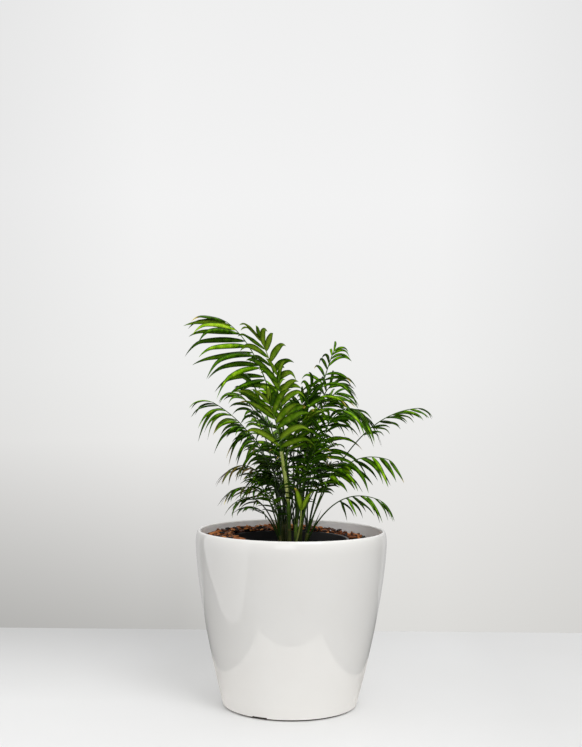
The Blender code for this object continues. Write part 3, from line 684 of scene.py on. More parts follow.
def chipShape(draw):
    # one torn shard: rings along its length, each a flat uneven oval, with ragged narrow ends
    b = barkSettings
    length = draw.uniform(*b["chipLength"]) * mm
    width = min(draw.uniform(*b["chipWidth"]) * mm, length * 0.8)
    thickness = draw.uniform(*b["chipThickness"]) * mm
    rings, sides = b["chipRings"], b["chipSides"]
    lean = draw.uniform(-b["chipLean"], b["chipLean"])
    bow = draw.uniform(-b["chipBow"], b["chipBow"])
    unevenWidth, unevenThickness = b["chipUneven"]
    points, grain = [], []
    for ring in range(rings):
        share = ring / (rings - 1)
        full = math.sin(math.pi * (share * 0.86 + 0.07)) ** 0.6
        taper = b["chipEnds"] + (1 - b["chipEnds"]) * full
        ragged = b["chipRagged"][ring in (0, rings - 1)]
        for side in range(sides):
            turn = math.tau * side / sides
            flat = abs(math.cos(turn)) ** 0.5 * math.copysign(1, math.cos(turn))
            high = abs(math.sin(turn)) ** 0.7 * math.copysign(1, math.sin(turn))
            along = (share - 0.5 + draw.uniform(-ragged, ragged)) * length
            across = flat * width / 2 * taper * draw.uniform(*unevenWidth) + lean * along
            above = high * thickness / 2 * taper * draw.uniform(*unevenThickness)
            above += bow * length * (1 - (2 * share - 1) ** 2)
            points.append((along, across, above))
            grain.append((along / mm, turn * thickness / mm))
    return np.array(points), grain


def chipFits(points):
    # clear of the planter's wall and of the nursery pot's rim, though a few lie over that rim
    fromAxis = np.hypot(points[:, 0], points[:, 1])
    fromPot = np.hypot(points[:, 0] - nurserySettings["centre"], points[:, 1])
    overRim = points[:, 2].min() > nurserySettings["rimHeight"] + gap
    reachIn = barkSettings["overPotRim"] if overRim else -gap
    return (fromAxis.max() < planterSettings["mouthRadius"] - gap
            and fromPot.min() > nurserySettings["rimRadius"] - reachIn
            and points[:, 2].max() < barkSettings["topMost"])


def placeChip(shape, draw):
    # thrown anywhere on the ring of bark, in a heap that falls off towards the planter's wall
    b = barkSettings
    innerRadius = nurserySettings["rimRadius"] - b["strewnInside"]
    outerRadius = planterSettings["mouthRadius"]
    angle, share = draw.uniform(0, math.tau), draw.random()
    radius = math.sqrt(innerRadius ** 2 + (outerRadius ** 2 - innerRadius ** 2) * share)
    x, y = around(radius, angle)
    x += nurserySettings["centre"] * (1 - share)
    tilt = b["tilts"][draw.random() < b["steepChips"]]
    turn = Quaternion(up, draw.uniform(0, math.tau))
    for axis in ((0, 1, 0), (1, 0, 0)):
        turn = turn @ Quaternion(axis, draw.gauss(0, tilt))
    heap = min((outerRadius - math.hypot(x, y)) / (0.5 * (outerRadius - innerRadius)), 1.0)
    lift = draw.random() ** 1.6 * b["layers"] * heap
    lift -= (1 - heap) * b["wallDip"]
    return shape @ np.array(turn.to_matrix()).T + (x, y, barkSurface(x, y) + lift - 0.5 * mm)


def makeBark():
    b = barkSettings
    draw = random.Random(b["seed"])
    material = pineBark()
    bed = barkBed(material)
    points = [tuple(vert.co) for vert in bed.data.vertices]
    shapes = [(points, [tuple(face.vertices) for face in bed.data.polygons])]
    plain, change, patch = b["bedTone"]
    tones = [plain + change * noise.noise(Vector(point) * perMetre(patch)) for point in points]
    grain = [(x / mm, y / mm) for x, y, z in points]
    bpy.data.objects.remove(bed, do_unlink=True)
    chipFaces = tubeFaces(b["chipRings"], b["chipSides"])
    placed = 0
    for attempt in range(b["triesPerChip"] * b["chips"]):
        shape, chipGrain = chipShape(draw)
        chip = placeChip(shape, draw)
        tone = draw.choice(b["chipTones"]) + draw.uniform(-b["toneChange"], b["toneChange"])
        if not chipFits(chip):
            continue
        shapes.append((chip, chipFaces))
        tones += [tone] * len(chip)
        grain += [(along + b["grainShift"] * placed, across) for along, across in chipGrain]
        placed += 1
        if placed == b["chips"]:
            break
    bark = meshObject("bark_mulch_chips", *joined(shapes), material)
    addValues(bark.data, "chipTone", tones)
    addCoordinates(bark.data, "grain", grain)
    shadeSmooth(bark, 38)
    finishPiece(bark, "bark_mulch")
    print("bark done,", placed, "chips")


# Potting soil

soilSettings = {
    "seed": 43,
    "steps": 120,
    "rings": 34,
    "sideRings": (0.25, 0.2, 0.15),
    "height": 284 * mm,
    "roughness": 1.6 * mm,
    "lumpSize": 11,
    "crumbs": 420,
    "crumbSize": (1.0, 3.2),
    "crumbMargin": 3 * mm,
    "crumbDents": (0.45, 900),  # depth, as a share of the radius, and dents in a metre
}


def pottingSoil():
    # Moist peat mix: nearly black crumbs with a few lighter fibres, dull all over
    material, tree, shader, place = newMaterial("moist peat potting mix", "#15100c", 0.92, 1.4)
    crumb = addNode(tree, "TexNoise", {"Vector": place, "Scale": perMetre(2.2), "Detail": 5.0})
    colour = addNode(tree, "ValToRGB", {0: crumb}, stops=[
        (0.35, "#030202"), (0.55, "#0a0705"), (0.72, "#1a110b"), (0.9, "#35261a")])
    bump = addNode(tree, "Bump", {"Height": crumb, "Strength": 1.0, "Distance": 1 * mm})
    feed(shader, {"Base Color": colour, "Normal": bump})
    return material


def makeSoil():
    s, n = soilSettings, nurserySettings
    draw = random.Random(s["seed"])
    bottom = n["footHeight"] + n["wall"] + gap
    edge = nurseryInner(s["height"]) - gap
    profile = [(edge * ring / s["rings"], s["height"]) for ring in range(s["rings"] + 1)]
    profile += [(nurseryInner(height) - gap, height) for height in (*s["sideRings"], bottom)]
    soil = turned("soil_mix", profile + [(0.0, bottom)], s["steps"], pottingSoil())
    for vert in soil.data.vertices:
        if vert.co.z > s["height"] - gap and math.hypot(vert.co.x, vert.co.y) < edge - gap:
            rough = noise.fractal(vert.co * perMetre(s["lumpSize"]), 1.0, 2.0, 4)
            vert.co.z += min(max(rough, -1), 1) * s["roughness"]
    shape = bmesh.new()
    shape.from_mesh(soil.data)
    dent, scale = s["crumbDents"]
    for index in range(s["crumbs"]):
        size = draw.uniform(*s["crumbSize"]) * mm
        x, y = around((edge - s["crumbMargin"]) * math.sqrt(draw.random()), draw.uniform(0, math.tau))
        place = Vector((x, y, s["height"] + size * 0.2))
        crumb = bmesh.ops.create_icosphere(shape, subdivisions=2, radius=size / 2)
        for vert in crumb["verts"]:
            vert.co *= 1 + dent * noise.noise(vert.co * scale + place * 100)
            vert.co += place
    shape.to_mesh(soil.data)
    shape.free()
    soil.data.transform(Matrix.Translation((n["centre"], 0, 0)))
    shadeSmooth(soil, 35)
    finishPiece(soil, "soil")
    print("soil done")


# Palms. A cane rises from its `foot` to its `top`, and `cane` is how pale it is. A frond's stalk is
# one arch: it leaves the cane at the height `start`, rises towards `bend` and ends at `tip`. Leaflets
# grow from `blade`, a share of the arch, to its tip, in `pairs`; the longest is `length` long and
# `width` wide. They stand out by `spread` degrees, rise above the blade's plane by `lift` and sag by
# `droop` of their length. `roll` turns the blade about its stalk, `tone` goes from dark old green at 0
# to fresh green at 1 and palest beyond, and is partly painted shade, and `age` yellows a frond.
# Without pairs it is a bare spear. Millimetres.


def frond(start, bend, tip, blade, pairs, length, width, droop, lift, spread, roll=0, tone=0.5, age=0.0):
    return dict(start=start * mm, bend=Vector(bend) * mm, tip=Vector(tip) * mm, blade=blade, pairs=pairs,
                length=length * mm, width=width * mm, droop=droop, lift=lift, spread=spread,
                roll=math.radians(roll), tone=tone, age=age)


palms = {
    "palm_tall_left": {"foot": (-4, -6), "top": (-7, -8, 405), "cane": 0.5, "fronds": [
        frond(400, (-36, -20, 640), (-122, -38, 700), 0.50, 7, 112, 14, 0.20, -60, 80, tone=0.62),
        frond(385, (-15, -28, 592), (-60, -72, 670), 0.56, 7, 80, 17, 0.30, 6, 66, tone=0.92),
        frond(370, (-12, 25, 520), (-34, 78, 588), 0.50, 6, 60, 12, 0.25, 0, 60, tone=0.45),
        frond(360, (-26, -12, 500), (-74, -30, 592), 0.48, 6, 64, 14, 0.34, -10, 58, tone=0.5),
    ]},
    "palm_centre": {"foot": (-3, -26), "top": (-20, -44, 466), "cane": 1.0, "fronds": [
        frond(462, (-26, -56, 520), (-42, -88, 556), 0.10, 7, 94, 18, 0.20, 4, 66, tone=0.82),
        frond(425, (-8, -58, 500), (27, -84, 532), 0.35, 6, 68, 18, 0.24, 5, 60, tone=0.72),
        frond(440, (-16, -44, 540), (-26, -58, 602), 0.40, 6, 72, 16, 0.25, 0, 58, tone=0.76),
    ]},
    "palm_left": {"foot": (-14, 9), "top": (-18, 11, 350), "cane": 0.3, "fronds": [
        frond(345, (-45, 18, 497), (-150, 26, 553), 0.46, 9, 72, 10, 0.80, -20, 66, tone=0.46),
        frond(330, (-45, 0, 540), (-102, -8, 570), 0.50, 7, 54, 8, 0.48, -24, 60, tone=0.42),
    ]},
    "palm_low_left": {"foot": (-17, -12), "top": (-20, -15, 345), "cane": 0.3, "fronds": [
        frond(340, (-58, -38, 470), (-114, -66, 432), 0.42, 10, 40, 6, 0.30, -20, 58, tone=0.18, age=0.2),
        frond(325, (-50, -56, 426), (-108, -92, 398), 0.42, 9, 38, 6, 0.30, -30, 58, tone=0.15, age=0.18),
        frond(335, (-42, -28, 486), (-92, -50, 510), 0.48, 7, 46, 8, 0.46, -20, 62, tone=0.25),
    ]},
    "palm_front_left": {"foot": (-20, -32), "top": (-22, -35, 315), "cane": 0.2, "fronds": [
        frond(302, (-48, -64, 376), (-82, -92, 370), 0.42, 6, 36, 6, 0.20, -15, 48, tone=0.15),
        frond(310, (-26, -62, 380), (-44, -100, 398), 0.35, 7, 36, 7, 0.30, 0, 60, tone=0.38),
        frond(308, (-56, -46, 406), (-98, -74, 378), 0.45, 6, 36, 6, 0.30, -25, 58, tone=0.2, age=0.15),
        frond(312, (-38, -54, 396), (-70, -80, 424), 0.40, 7, 38, 6, 0.30, -10, 58, tone=0.38),
    ]},
    "palm_back_left": {"foot": (-9, 25), "top": (-12, 30, 350), "cane": 0.3, "fronds": [
        frond(345, (-30, 42, 440), (-68, 60, 464), 0.45, 6, 44, 8, 0.30, -15, 60, tone=0.3),
        frond(335, (-24, 72, 480), (-56, 124, 520), 0.48, 6, 58, 11, 0.30, -10, 60, tone=0.45),
        frond(325, (-12, 72, 400), (-28, 120, 430), 0.42, 6, 48, 10, 0.35, -10, 60, tone=0.4),
        frond(340, (-34, 34, 510), (-78, 34, 566), 0.45, 6, 62, 12, 0.30, -15, 60, tone=0.2),
    ]},
    "palm_tall_right": {"foot": (8, 12), "top": (12, 15, 380), "cane": 0.5, "fronds": [
        frond(375, (46, 20, 574), (76, 22, 650), 0.50, 9, 62, 8, 0.62, 0, 62, 75, tone=0.40),
        frond(370, (36, 24, 550), (82, 36, 572), 0.52, 8, 58, 8, 0.56, -10, 60, 40, tone=0.35),
        frond(365, (8, 32, 508), (20, 44, 560), 0.50, 7, 58, 11, 0.22, 5, 56, tone=0.30),
        frond(355, (12, -10, 500), (34, -34, 584), 0.45, 6, 60, 13, 0.32, 0, 60, tone=0.36),
        frond(350, (-10, 8, 500), (26, 0, 556), 0.50, 5, 64, 15, 0.22, -5, 62, tone=0.12),
    ]},
    "palm_back_right": {"foot": (17, 28), "top": (20, 32, 365), "cane": 0.4, "fronds": [
        frond(360, (42, 42, 600), (88, 56, 590), 0.50, 8, 56, 8, 0.50, 0, 58, 60, tone=0.38),
        frond(350, (24, 78, 480), (42, 132, 525), 0.48, 6, 58, 11, 0.30, -10, 60, tone=0.45),
        frond(335, (44, 66, 400), (76, 108, 430), 0.42, 6, 48, 10, 0.35, -10, 60, tone=0.4),
    ]},
    "palm_right": {"foot": (16, -3), "top": (20, -5, 350), "cane": 0.4, "fronds": [
        frond(345, (60, 2, 594), (132, -22, 532), 0.48, 9, 62, 9, 0.40, -36, 60, tone=0.40),
        frond(335, (50, -25, 450), (66, -62, 526), 0.40, 9, 84, 9, 0.56, 0, 68, -38, tone=0.48),
    ]},
    "palm_far_right": {"foot": (28, 8), "top": (31, 9, 325), "cane": 0.4, "fronds": [
        frond(318, (110, -2, 537), (230, -22, 546), 0.55, 8, 40, 7, 0.26, -46, 34, tone=0.42),
    ]},
    "palm_low_right": {"foot": (27, -19), "top": (30, -22, 318), "cane": 0.3, "fronds": [
        frond(314, (76, -46, 486), (174, -72, 454), 0.44, 6, 50, 10.5, 0.42, -58, 66, tone=0.44),
        frond(308, (58, -40, 420), (82, -56, 442), 0.62, 3, 46, 14, 0.50, -56, 58, tone=0.44),
        frond(300, (78, -52, 414), (158, -72, 382), 0.50, 7, 44, 7, 0.42, -44, 66, tone=0.36),
        frond(296, (40, -46, 330), (54, -56, 364), 0.50, 0, 0, 0, 0.0, 0, 0, tone=0.3),
    ]},
    "palm_front": {"foot": (8, -31), "top": (8, -33, 345), "cane": 0.6, "fronds": [
        frond(330, (6, -56, 390), (14, -106, 436), 0.38, 8, 46, 6, 0.36, 0, 66, tone=0.30),
        frond(338, (22, -38, 430), (40, -70, 474), 0.45, 9, 52, 8, 0.44, 0, 66, tone=0.46),
        frond(298, (16, -62, 324), (17, -80, 364), 0.95, 1, 64, 17, -0.1, 0, 9, tone=1.4),
        frond(318, (24, -44, 348), (29, -48, 380), 0.50, 0, 0, 0, 0.0, 0, 0, tone=0.6),
    ]},
}

palmSettings = {
    "seed": 41,
    "soilTop": 286 * mm,
    "soilDepth": 14 * mm,
    "caneRadius": (3.0 * mm, 2.3 * mm),  # at its foot and at its top
    "caneSides": 16,
    "caneStep": 1.5 * mm,
    "internode": (20, 32),
    "scar": (6 * mm, 1.1 * mm, 0.35 * mm),  # the first one's height, then width and rise
    "sheathLength": (34, 52),
    "sheathEnd": 6 * mm,  # above the place where the stalk leaves the cane
    "sheathRings": 22,
    "sleeve": (0.25 * mm, 0.75 * mm),  # thickness at its foot, and what it gains on its way up
    "stalkRadius": (1.7 * mm, 0.75 * mm),
    "stalkSides": 12,
    "stalkSteps": 56,
    "stalkFlare": (0.5 * mm, 0.06),  # what it gains at the cane, and over what share of its length
    "channel": 0.22,
    "bladeThickness": 0.38 * mm,
    "rootThickness": (0.9 * mm, 0.02),
    "ribDepth": 0.35 * mm,
    "waves": (0.06, 14),  # height, as a share of half the width, and number
    "hookPart": (0.7, 0.3),  # the share of a leaflet at which its tip starts to hook, and the rest
    "clearance": 0.4 * mm,
    "longestPlace": 0.4,
    "lengthFall": 0.85,
    "widthFall": 0.6,
    "bladeEnd": 0.995,
    "tipSpread": 24,
    "stagger": 0.35,
    "yellowTips": 0.06,
    "plainBelow": 9.5 * mm,
    # short fronds that fill the middle of the plant, their dark tone painted shade
    "inner": {
        "number": 2, "turn": (110, 190), "reach": (22, 62), "height": (405, 515), "lowestStart": 306,
        "belowTop": 8, "bendBelow": (5, 25), "blade": 0.60, "pairs": 6, "length": (44, 60),
        "width": (6, 8), "droop": (0.3, 0.55), "lift": (-30, 0), "spread": 60, "tone": (0.0, 0.32)},
}

# what differs from leaflet to leaflet: a single number goes both ways, and angles are in degrees
leafletVariation = {
    "place": 0.3,
    "spread": 8,
    "lift": 9,
    "length": 0.10,
    "droop": 0.4,
    "twist": 30,
    "hook": (0.02, 0.20),
    "sickle": (-0.05, 0.10),
    "fold": (0.28, 0.62),
    "tone": (-0.28, 0.32),
    "yellow": (0.3, 0.8),
    "age": (0, 0, 1, 1.6),  # one of these times the age of the frond
}

sideways = np.array((1.0, 0.0, 0.0))

# swing along the stalk and lift, in degrees, that a leaflet tries until it is clear of the rest
swings = [(0, 0), (7, 0), (-7, 0), (0, 9), (0, -9), (13, 9), (-13, -9), (13, -9), (-13, 9), (20, 0),
          (-20, 0), (0, 20), (0, -20), (26, 14), (-26, -14), (26, -14), (-26, 14)]


def leafBlade():
    # Living palm leaf under a thin wax cuticle: deep saturated green with fine parallel veins, a
    # satin gloss on the upper face and a duller lower one, painted darker as shade
    material, tree, shader, solid = newMaterial("waxy palm leaf", "#3a6f14", 0.34, 1.46)
    tone, age, lower = [addNode(tree, "Attribute", attribute_name=name).outputs["Fac"]
                        for name in ("tone", "age", "lower")]
    bladeMap = addNode(tree, "UVMap", uv_map="blade")
    cloud = addNode(tree, "TexNoise", {"Vector": solid, "Scale": perMetre(11), "Detail": 3.0})
    # a frond's tone, partly its own green and partly painted shade, sets how dark the blade is
    mottled = addNode(tree, "Math", {0: cloud, 1: 1.0, 2: tone}, operation="MULTIPLY_ADD")
    shift = addNode(tree, "Math", {0: mottled, 1: 0.50}, operation="SUBTRACT")
    green = addNode(tree, "ValToRGB", {0: shift}, stops=[
        (0.0, "#071501"), (0.25, "#1d3e01"), (0.5, "#467802"), (0.75, "#84ba0a"), (1.0, "#c2e63c")])
    # veins run the length of a blade, 1 mm apart on one 10 mm wide; the rib is a paler line
    across = addNode(tree, "Mapping", {"Vector": bladeMap, "Scale": (1.0, 0.0, 0.0)})
    veins = addNode(tree, "TexWave", {"Vector": across, "Scale": 3.2}).outputs["Fac"]
    veinColour = addNode(tree, "Mix", {0: veins, 6: linear("#ffffff"), 7: linear("#dfe8c4")},
                         data_type="RGBA")
    veined = addNode(tree, "Mix", {0: 1.0, 6: green, 7: veinColour}, data_type="RGBA",
                     blend_type="MULTIPLY")
    side = addNode(tree, "SeparateXYZ", {0: bladeMap}).outputs[0]
    offRib = addNode(tree, "Math", {0: side, 1: 0.5}, operation="SUBTRACT")
    distance = addNode(tree, "Math", {0: offRib}, operation="ABSOLUTE")
    rib = addNode(tree, "MapRange", {0: distance}, ends=((0, 0.5), (0.05, 0)))
    # painted shade: the blade darkens to near black towards both its edges, where its fold turns them from
    # the light
    margin = addNode(tree, "MapRange", {0: distance}, ends=((0.15, 0), (0.5, 0.95)))
    edgeShaded = addNode(tree, "Mix", {0: margin, 6: veined, 7: linear("#0b1f02")}, data_type="RGBA")
    ribbed = addNode(tree, "Mix", {0: rib, 6: edgeShaded, 7: linear("#80a828")}, data_type="RGBA")
    # painted shade: the lower face is mixed towards a dark green
    undersideShade = addNode(tree, "Math", {0: lower, 1: 0.45}, operation="MULTIPLY")
    faced = addNode(tree, "Mix", {0: undersideShade, 6: ribbed, 7: linear("#1e3f04")}, data_type="RGBA")
    old = addNode(tree, "ValToRGB", {0: age}, stops=[
        (0.1, "#4a4a1a"), (0.3, "#70492c"), (0.45, "#b3a044"), (0.75, "#dccb5c"), (1.0, "#8a6030")])
    ageing = addNode(tree, "MapRange", {0: age}, ends=((0.05, 0), (0.5, 1)))
    aged = addNode(tree, "Mix", {0: ageing, 6: faced, 7: old}, data_type="RGBA")
    rough = addNode(tree, "MapRange", {0: lower}, ends=((0, 0.24), (1, 0.45)))
    bump = addNode(tree, "Bump", {"Height": veins, "Strength": 0.35, "Distance": 0.25 * mm})
    feed(shader, {"Base Color": aged, "Roughness": rough, "Normal": bump, "Specular IOR Level": 0.12,
                  "Specular Tint": linear("#e6f08c")})
    return material


# skins streaked along the stem: `fibre` gives a streak's width and length in mm
skinSettings = {
    # Living leaf stalk: smooth, hard and satin, dark green, paler towards the light and brown where
    # it is old
    "smooth green leaf stalk": {
        "colour": "#3c5c1c", "roughness": 0.38, "fibre": (1, 12), "detail": 2.0, "mottle": 0.3,
        "greens": [(0.1, "#0a1104"), (0.45, "#1e330a"), (0.75, "#4b7016"), (1.0, "#b4c466")],
        "old": "#6b5236", "relief": (0.3, 0.15 * mm)},
    # Young palm cane: firm yellow-green skin with a dry brown scar ring where each old leaf sat
    "ringed palm cane": {
        "colour": "#8c9c3c", "roughness": 0.42, "fibre": (0.8, 9), "detail": 3.0, "mottle": 0.35,
        "greens": [(0.2, "#131c07"), (0.45, "#2f4611"), (0.72, "#7f952f"), (1.0, "#d6db8c")],
        "old": "#5a4a26", "relief": (0.4, 0.2 * mm)},
}


def streakedSkin(name):
    skin = skinSettings[name]
    material, tree, shader, solid = newMaterial(name, skin["colour"], skin["roughness"], 1.46)
    tone, age = [addNode(tree, "Attribute", attribute_name=key).outputs["Fac"]
                 for key in ("tone", "age")]
    wide, long = map(perMetre, skin["fibre"])
    streak = addNode(tree, "Mapping", {"Vector": solid, "Scale": (wide, wide, long)})
    fibre = addNode(tree, "TexNoise", {"Vector": streak, "Scale": 1.0, "Detail": skin["detail"]})
    mottled = addNode(tree, "Math", {0: fibre, 1: skin["mottle"], 2: tone},
                      operation="MULTIPLY_ADD")
    green = addNode(tree, "ValToRGB", {0: mottled}, stops=skin["greens"])
    aged = addNode(tree, "Mix", {0: age, 6: green, 7: linear(skin["old"])}, data_type="RGBA")
    strength, distance = skin["relief"]
    bump = addNode(tree, "Bump", {"Height": fibre, "Strength": strength, "Distance": distance})
    feed(shader, {"Base Color": aged, "Normal": bump, "Specular IOR Level": 0.3})
    return material


class PlantMesh:
    # gathers one palm's closed tubes and blades, with what their materials read
    bladeSlot, stalkSlot, caneSlot = 0, 1, 2

    def __init__(self):
        self.shapes, self.slots, self.uvs = [], [], []
        self.values = {"tone": [], "age": [], "lower": []}

    def add(self, points, faces, slot, uvs, tone, age, lower):
        self.shapes.append((points, faces))
        self.slots += [slot] * len(faces)
        self.uvs.append(uvs)
        for store, value in zip(self.values.values(), (tone, age, lower)):
            store.append(np.broadcast_to(value, len(points)))

    def build(self, name, materials):
        plant = meshObject(name, *joined(self.shapes), *materials)
        plant.data.polygons.foreach_set("material_index", self.slots)
        for key, store in self.values.items():
            addValues(plant.data, key, np.concatenate(store))
        addCoordinates(plant.data, "blade", np.concatenate(self.uvs))
        shadeSmooth(plant, 42)
        return plant


def archPoint(start, bend, tip, share):
    return start * (1 - share) ** 2 + bend * 2 * share * (1 - share) + tip * share ** 2


def between(ends, share):
    return ends[0] + (ends[1] - ends[0]) * share


def unit(vectors):
    return vectors / np.linalg.norm(vectors, axis=-1, keepdims=True)


def caneAxis(palm, share):
    # straight up out of the soil at share 0, then in one arch to the cane's top at share 1
    foot = Vector((palm["foot"][0] * mm, palm["foot"][1] * mm, palmSettings["soilTop"]))
    top = Vector(palm["top"]) * mm
    middle = Vector((foot.x, foot.y, (foot.z + top.z) / 2))
    return archPoint(foot, middle, top, share)


def caneShare(palm, height):
    # found by halving, as the cane only rises
    low, high = 0.0, 1.0
    for halving in range(24):
        middle = (low + high) / 2
        low, high = (middle, high) if caneAxis(palm, middle).z < height else (low, middle)
    return high


class Stalk:
    # the arch of one frond, with the blade's own directions along it
    def __init__(self, palm, leaf):
        self.start = caneAxis(palm, caneShare(palm, leaf["start"]))
        self.bend, self.tip, self.roll = leaf["bend"], leaf["tip"], leaf["roll"]
        self.ahead = self.tip - self.start
        self.ahead.z = 0.0
        self.ahead.normalize()

    def place(self, share):
        return archPoint(self.start, self.bend, self.tip, share)

    def directions(self, share):
        # along the stalk, out of the blade's upper face, and to the right of the blade
        along = ((self.bend - self.start) * (1 - share) + (self.tip - self.bend) * share).normalized()
        upper = up - self.ahead * 0.5
        upper = Quaternion(along, self.roll) @ (upper - along * upper.dot(along)).normalized()
        return along, upper, along.cross(upper)


def tubeAlong(points, radii, sides, upper, channel=0.0):
    # a closed tube; a channel, a share of the radius, runs along its upper side
    points, radii = np.array(points), np.array(radii)
    along = unit(np.gradient(points, axis=0))
    outward = unit(upper - along * np.sum(along * upper, axis=1, keepdims=True))
    beside = np.cross(along, outward)
    turns = np.linspace(0, math.tau, sides, endpoint=False)
    hollow = 1 - channel * np.maximum(np.cos(turns), 0) ** 6
    reach = (radii[:, None] * hollow)[..., None]
    ring = outward[:, None] * np.cos(turns)[None, :, None] + beside[:, None] * np.sin(turns)[None, :, None]
    corners = (points[:, None] + ring * reach).reshape(-1, 3)
    lengths = np.concatenate([[0], np.cumsum(np.linalg.norm(np.diff(points, axis=0), axis=1))]) / mm
    uvs = np.stack([np.tile(turns / math.tau, len(points)), np.repeat(lengths, sides)], axis=1)
    return corners, tubeFaces(len(points), sides), uvs


def bladeWidth(share):
    # narrow root, widest before the middle, then a long drawn-out point
    return np.maximum(0.13 * (1 - share), share ** 0.62 * (1 - share) ** 0.95 * 2.15)


def bladeGrid(stations, columns):
    # places along a leaflet, closer at its root and its tip, and across it, with the faces that go
    # round both of its sides to the tip and close its root
    ring = 2 * len(columns) - 2
    last, tip = (len(stations) - 1) * ring, len(stations) * ring
    faces = []
    for start in range(0, last, ring):
        for index in range(ring):
            a, b = start + index, start + (index + 1) % ring
            faces.append((a, a + ring, b + ring, b))
    faces += [(last + index, tip, last + (index + 1) % ring) for index in range(ring)]
    return stations, columns, faces + [tuple(range(ring))]


# for a wide leaflet, for a narrow one, and for the one that is tried for room
fineGrid = bladeGrid([0, 0.015, 0.04, 0.08, 0.13, 0.19, 0.26, 0.33, 0.41, 0.49, 0.57, 0.65, 0.72, 0.785,
                      0.84, 0.89, 0.93, 0.965, 0.987],
                     [-1, -0.8, -0.55, -0.3, -0.08, 0, 0.08, 0.3, 0.55, 0.8, 1])
plainGrid = bladeGrid([0, 0.03, 0.09, 0.18, 0.3, 0.42, 0.54, 0.66, 0.76, 0.84, 0.91, 0.965],
                      [-1, -0.6, -0.1, 0, 0.1, 0.6, 1])
coarseGrid = bladeGrid([0, 0.15, 0.35, 0.55, 0.75, 0.9], [-1, 0, 1])


class Leaflet:
    # one leaflet's place, direction and size on its frond
    def __init__(self, leaf, stalk, side, place, draw):
        p = palmSettings
        vary = leafletVariation
        if 0 < place < 1:
            place = min(place + draw.uniform(-vary["place"], vary["place"]) / leaf["pairs"], 1.0)
        share = between((leaf["blade"], p["bladeEnd"]), place)
        fromLongest = (place - p["longestPlace"]) ** 2
        self.root = np.array(stalk.place(share))
        self.along, self.upper, self.right = [np.array(d) for d in stalk.directions(share)]
        self.side = side
        spread = between((leaf["spread"], p["tipSpread"]), place)
        self.spread = spread + vary["spread"] * draw.uniform(-1, 1)
        self.lift = leaf["lift"] + vary["lift"] * draw.uniform(-1, 1)
        longest = leaf["length"] * (1 + vary["length"] * draw.uniform(-1, 1))
        self.length = longest * (1 - p["lengthFall"] * fromLongest)
        self.width = leaf["width"] * (1 - p["widthFall"] * fromLongest)
        self.droop = leaf["droop"] * (1 + vary["droop"] * draw.uniform(-1, 1))
        self.twist = math.radians(vary["twist"] * draw.uniform(-1, 1))
        self.hook, self.sickle = draw.uniform(*vary["hook"]), draw.uniform(*vary["sickle"])
        self.fold = draw.uniform(*vary["fold"])
        self.ripple = draw.uniform(0, math.tau)
        self.tone = leaf["tone"] + draw.uniform(*vary["tone"])
        self.yellowTip = draw.uniform(*vary["yellow"]) if draw.random() < p["yellowTips"] else 0.0
        self.age = leaf["age"] * draw.choice(vary["age"])

    def midrib(self, s, swing):
        # its line from the root at s 0 to the tip at s 1, with the directions ahead, across and above
        spread, lift = math.radians(self.spread + swing[0]), math.radians(self.lift + swing[1])
        outward = self.right * self.side * math.cos(lift) + self.upper * math.sin(lift)
        heading = self.along * math.cos(spread) + outward * math.sin(spread)
        face = self.upper * math.cos(lift) - self.right * self.side * math.sin(lift)
        inPlane = unit(self.along - heading * self.along.dot(heading))
        before, hooked = palmSettings["hookPart"]
        sag = self.droop * s ** 2 + self.hook * (np.maximum(s - before, 0) / hooked) ** 2
        bow = self.sickle * np.sin(math.pi * s * 0.9)
        middle = self.root + (heading * s - np.array(up) * sag + inPlane * bow) * self.length
        forward = unit(np.gradient(middle, s[:, 0], axis=0))
        across = unit(np.cross(face, forward))
        turn = self.twist * s
        across = across * np.cos(turn) + np.cross(forward, across) * np.sin(turn)
        return middle, forward, across, np.cross(forward, across)

    def corners(self, grid, swing, margin):
        # a ring of corners at each station, over the upper face and back under the lower, and the tip
        p = palmSettings
        stations, columns, faces = grid
        s = np.array(stations + [1.0])[:, None]
        middle, forward, across, above = self.midrib(s, swing)
        u = np.array(columns + columns[-2:0:-1])
        layer = np.array([0] + [1] * (len(columns) - 2) + [0] + [-1] * (len(columns) - 2))
        half = self.width * bladeWidth(s) / 2 + margin
        rootGain, rootReach = p["rootThickness"]
        thinner = 1 - 0.35 * s  # towards the tip
        thick = p["bladeThickness"] * thinner + rootGain * np.exp(-s / rootReach)
        thick = thick + 2 * margin
        rib = p["ribDepth"] * (1 - s) * (np.abs(u) < 0.02) * (layer < 0)
        waveHeight, waves = p["waves"]
        ripple = np.sin(waves * s + self.ripple + 1.5 * np.sign(u))
        wave = waveHeight * ripple * u ** 2 * np.minimum(s * 4, 1)
        fold = self.fold * (1 - 0.5 * s) * np.abs(u) ** 1.2
        height = layer * thick / 2 * np.sqrt(np.maximum(1 - u ** 2, 0)) - rib + (wave - fold) * half
        ring = middle[:, None] + across[:, None] * (half * u)[..., None] + above[:, None] * height[..., None]
        tip = middle[-1] + forward[-1] * margin
        corners = np.concatenate([ring[:-1].reshape(-1, 3), tip[None]])
        shares = np.concatenate([np.repeat(s[:-1, 0], len(u)), [1.0]])
        sides, lower = [np.concatenate([np.tile(values, len(stations)), [0.0]])
                        for values in (u, (layer < 0) * 1.0)]
        return corners, shares, sides, lower


def leafletPlaces(pairs):
    # (side, place) from the lowest pair to the two at the tip, the sides a little staggered
    for pair in range(pairs - 1):
        yield -1, pair / (pairs - 1)
        yield 1, (pair + palmSettings["stagger"]) / (pairs - 1)
    if pairs:
        yield -1, 1.0
        yield 1, 1.0


def caneFreshness(rise):
    # dull at the foot of a cane, fresh from its middle on
    return 0.25 + 0.75 * np.clip(rise * 2.2 - 0.45, 0, 1)


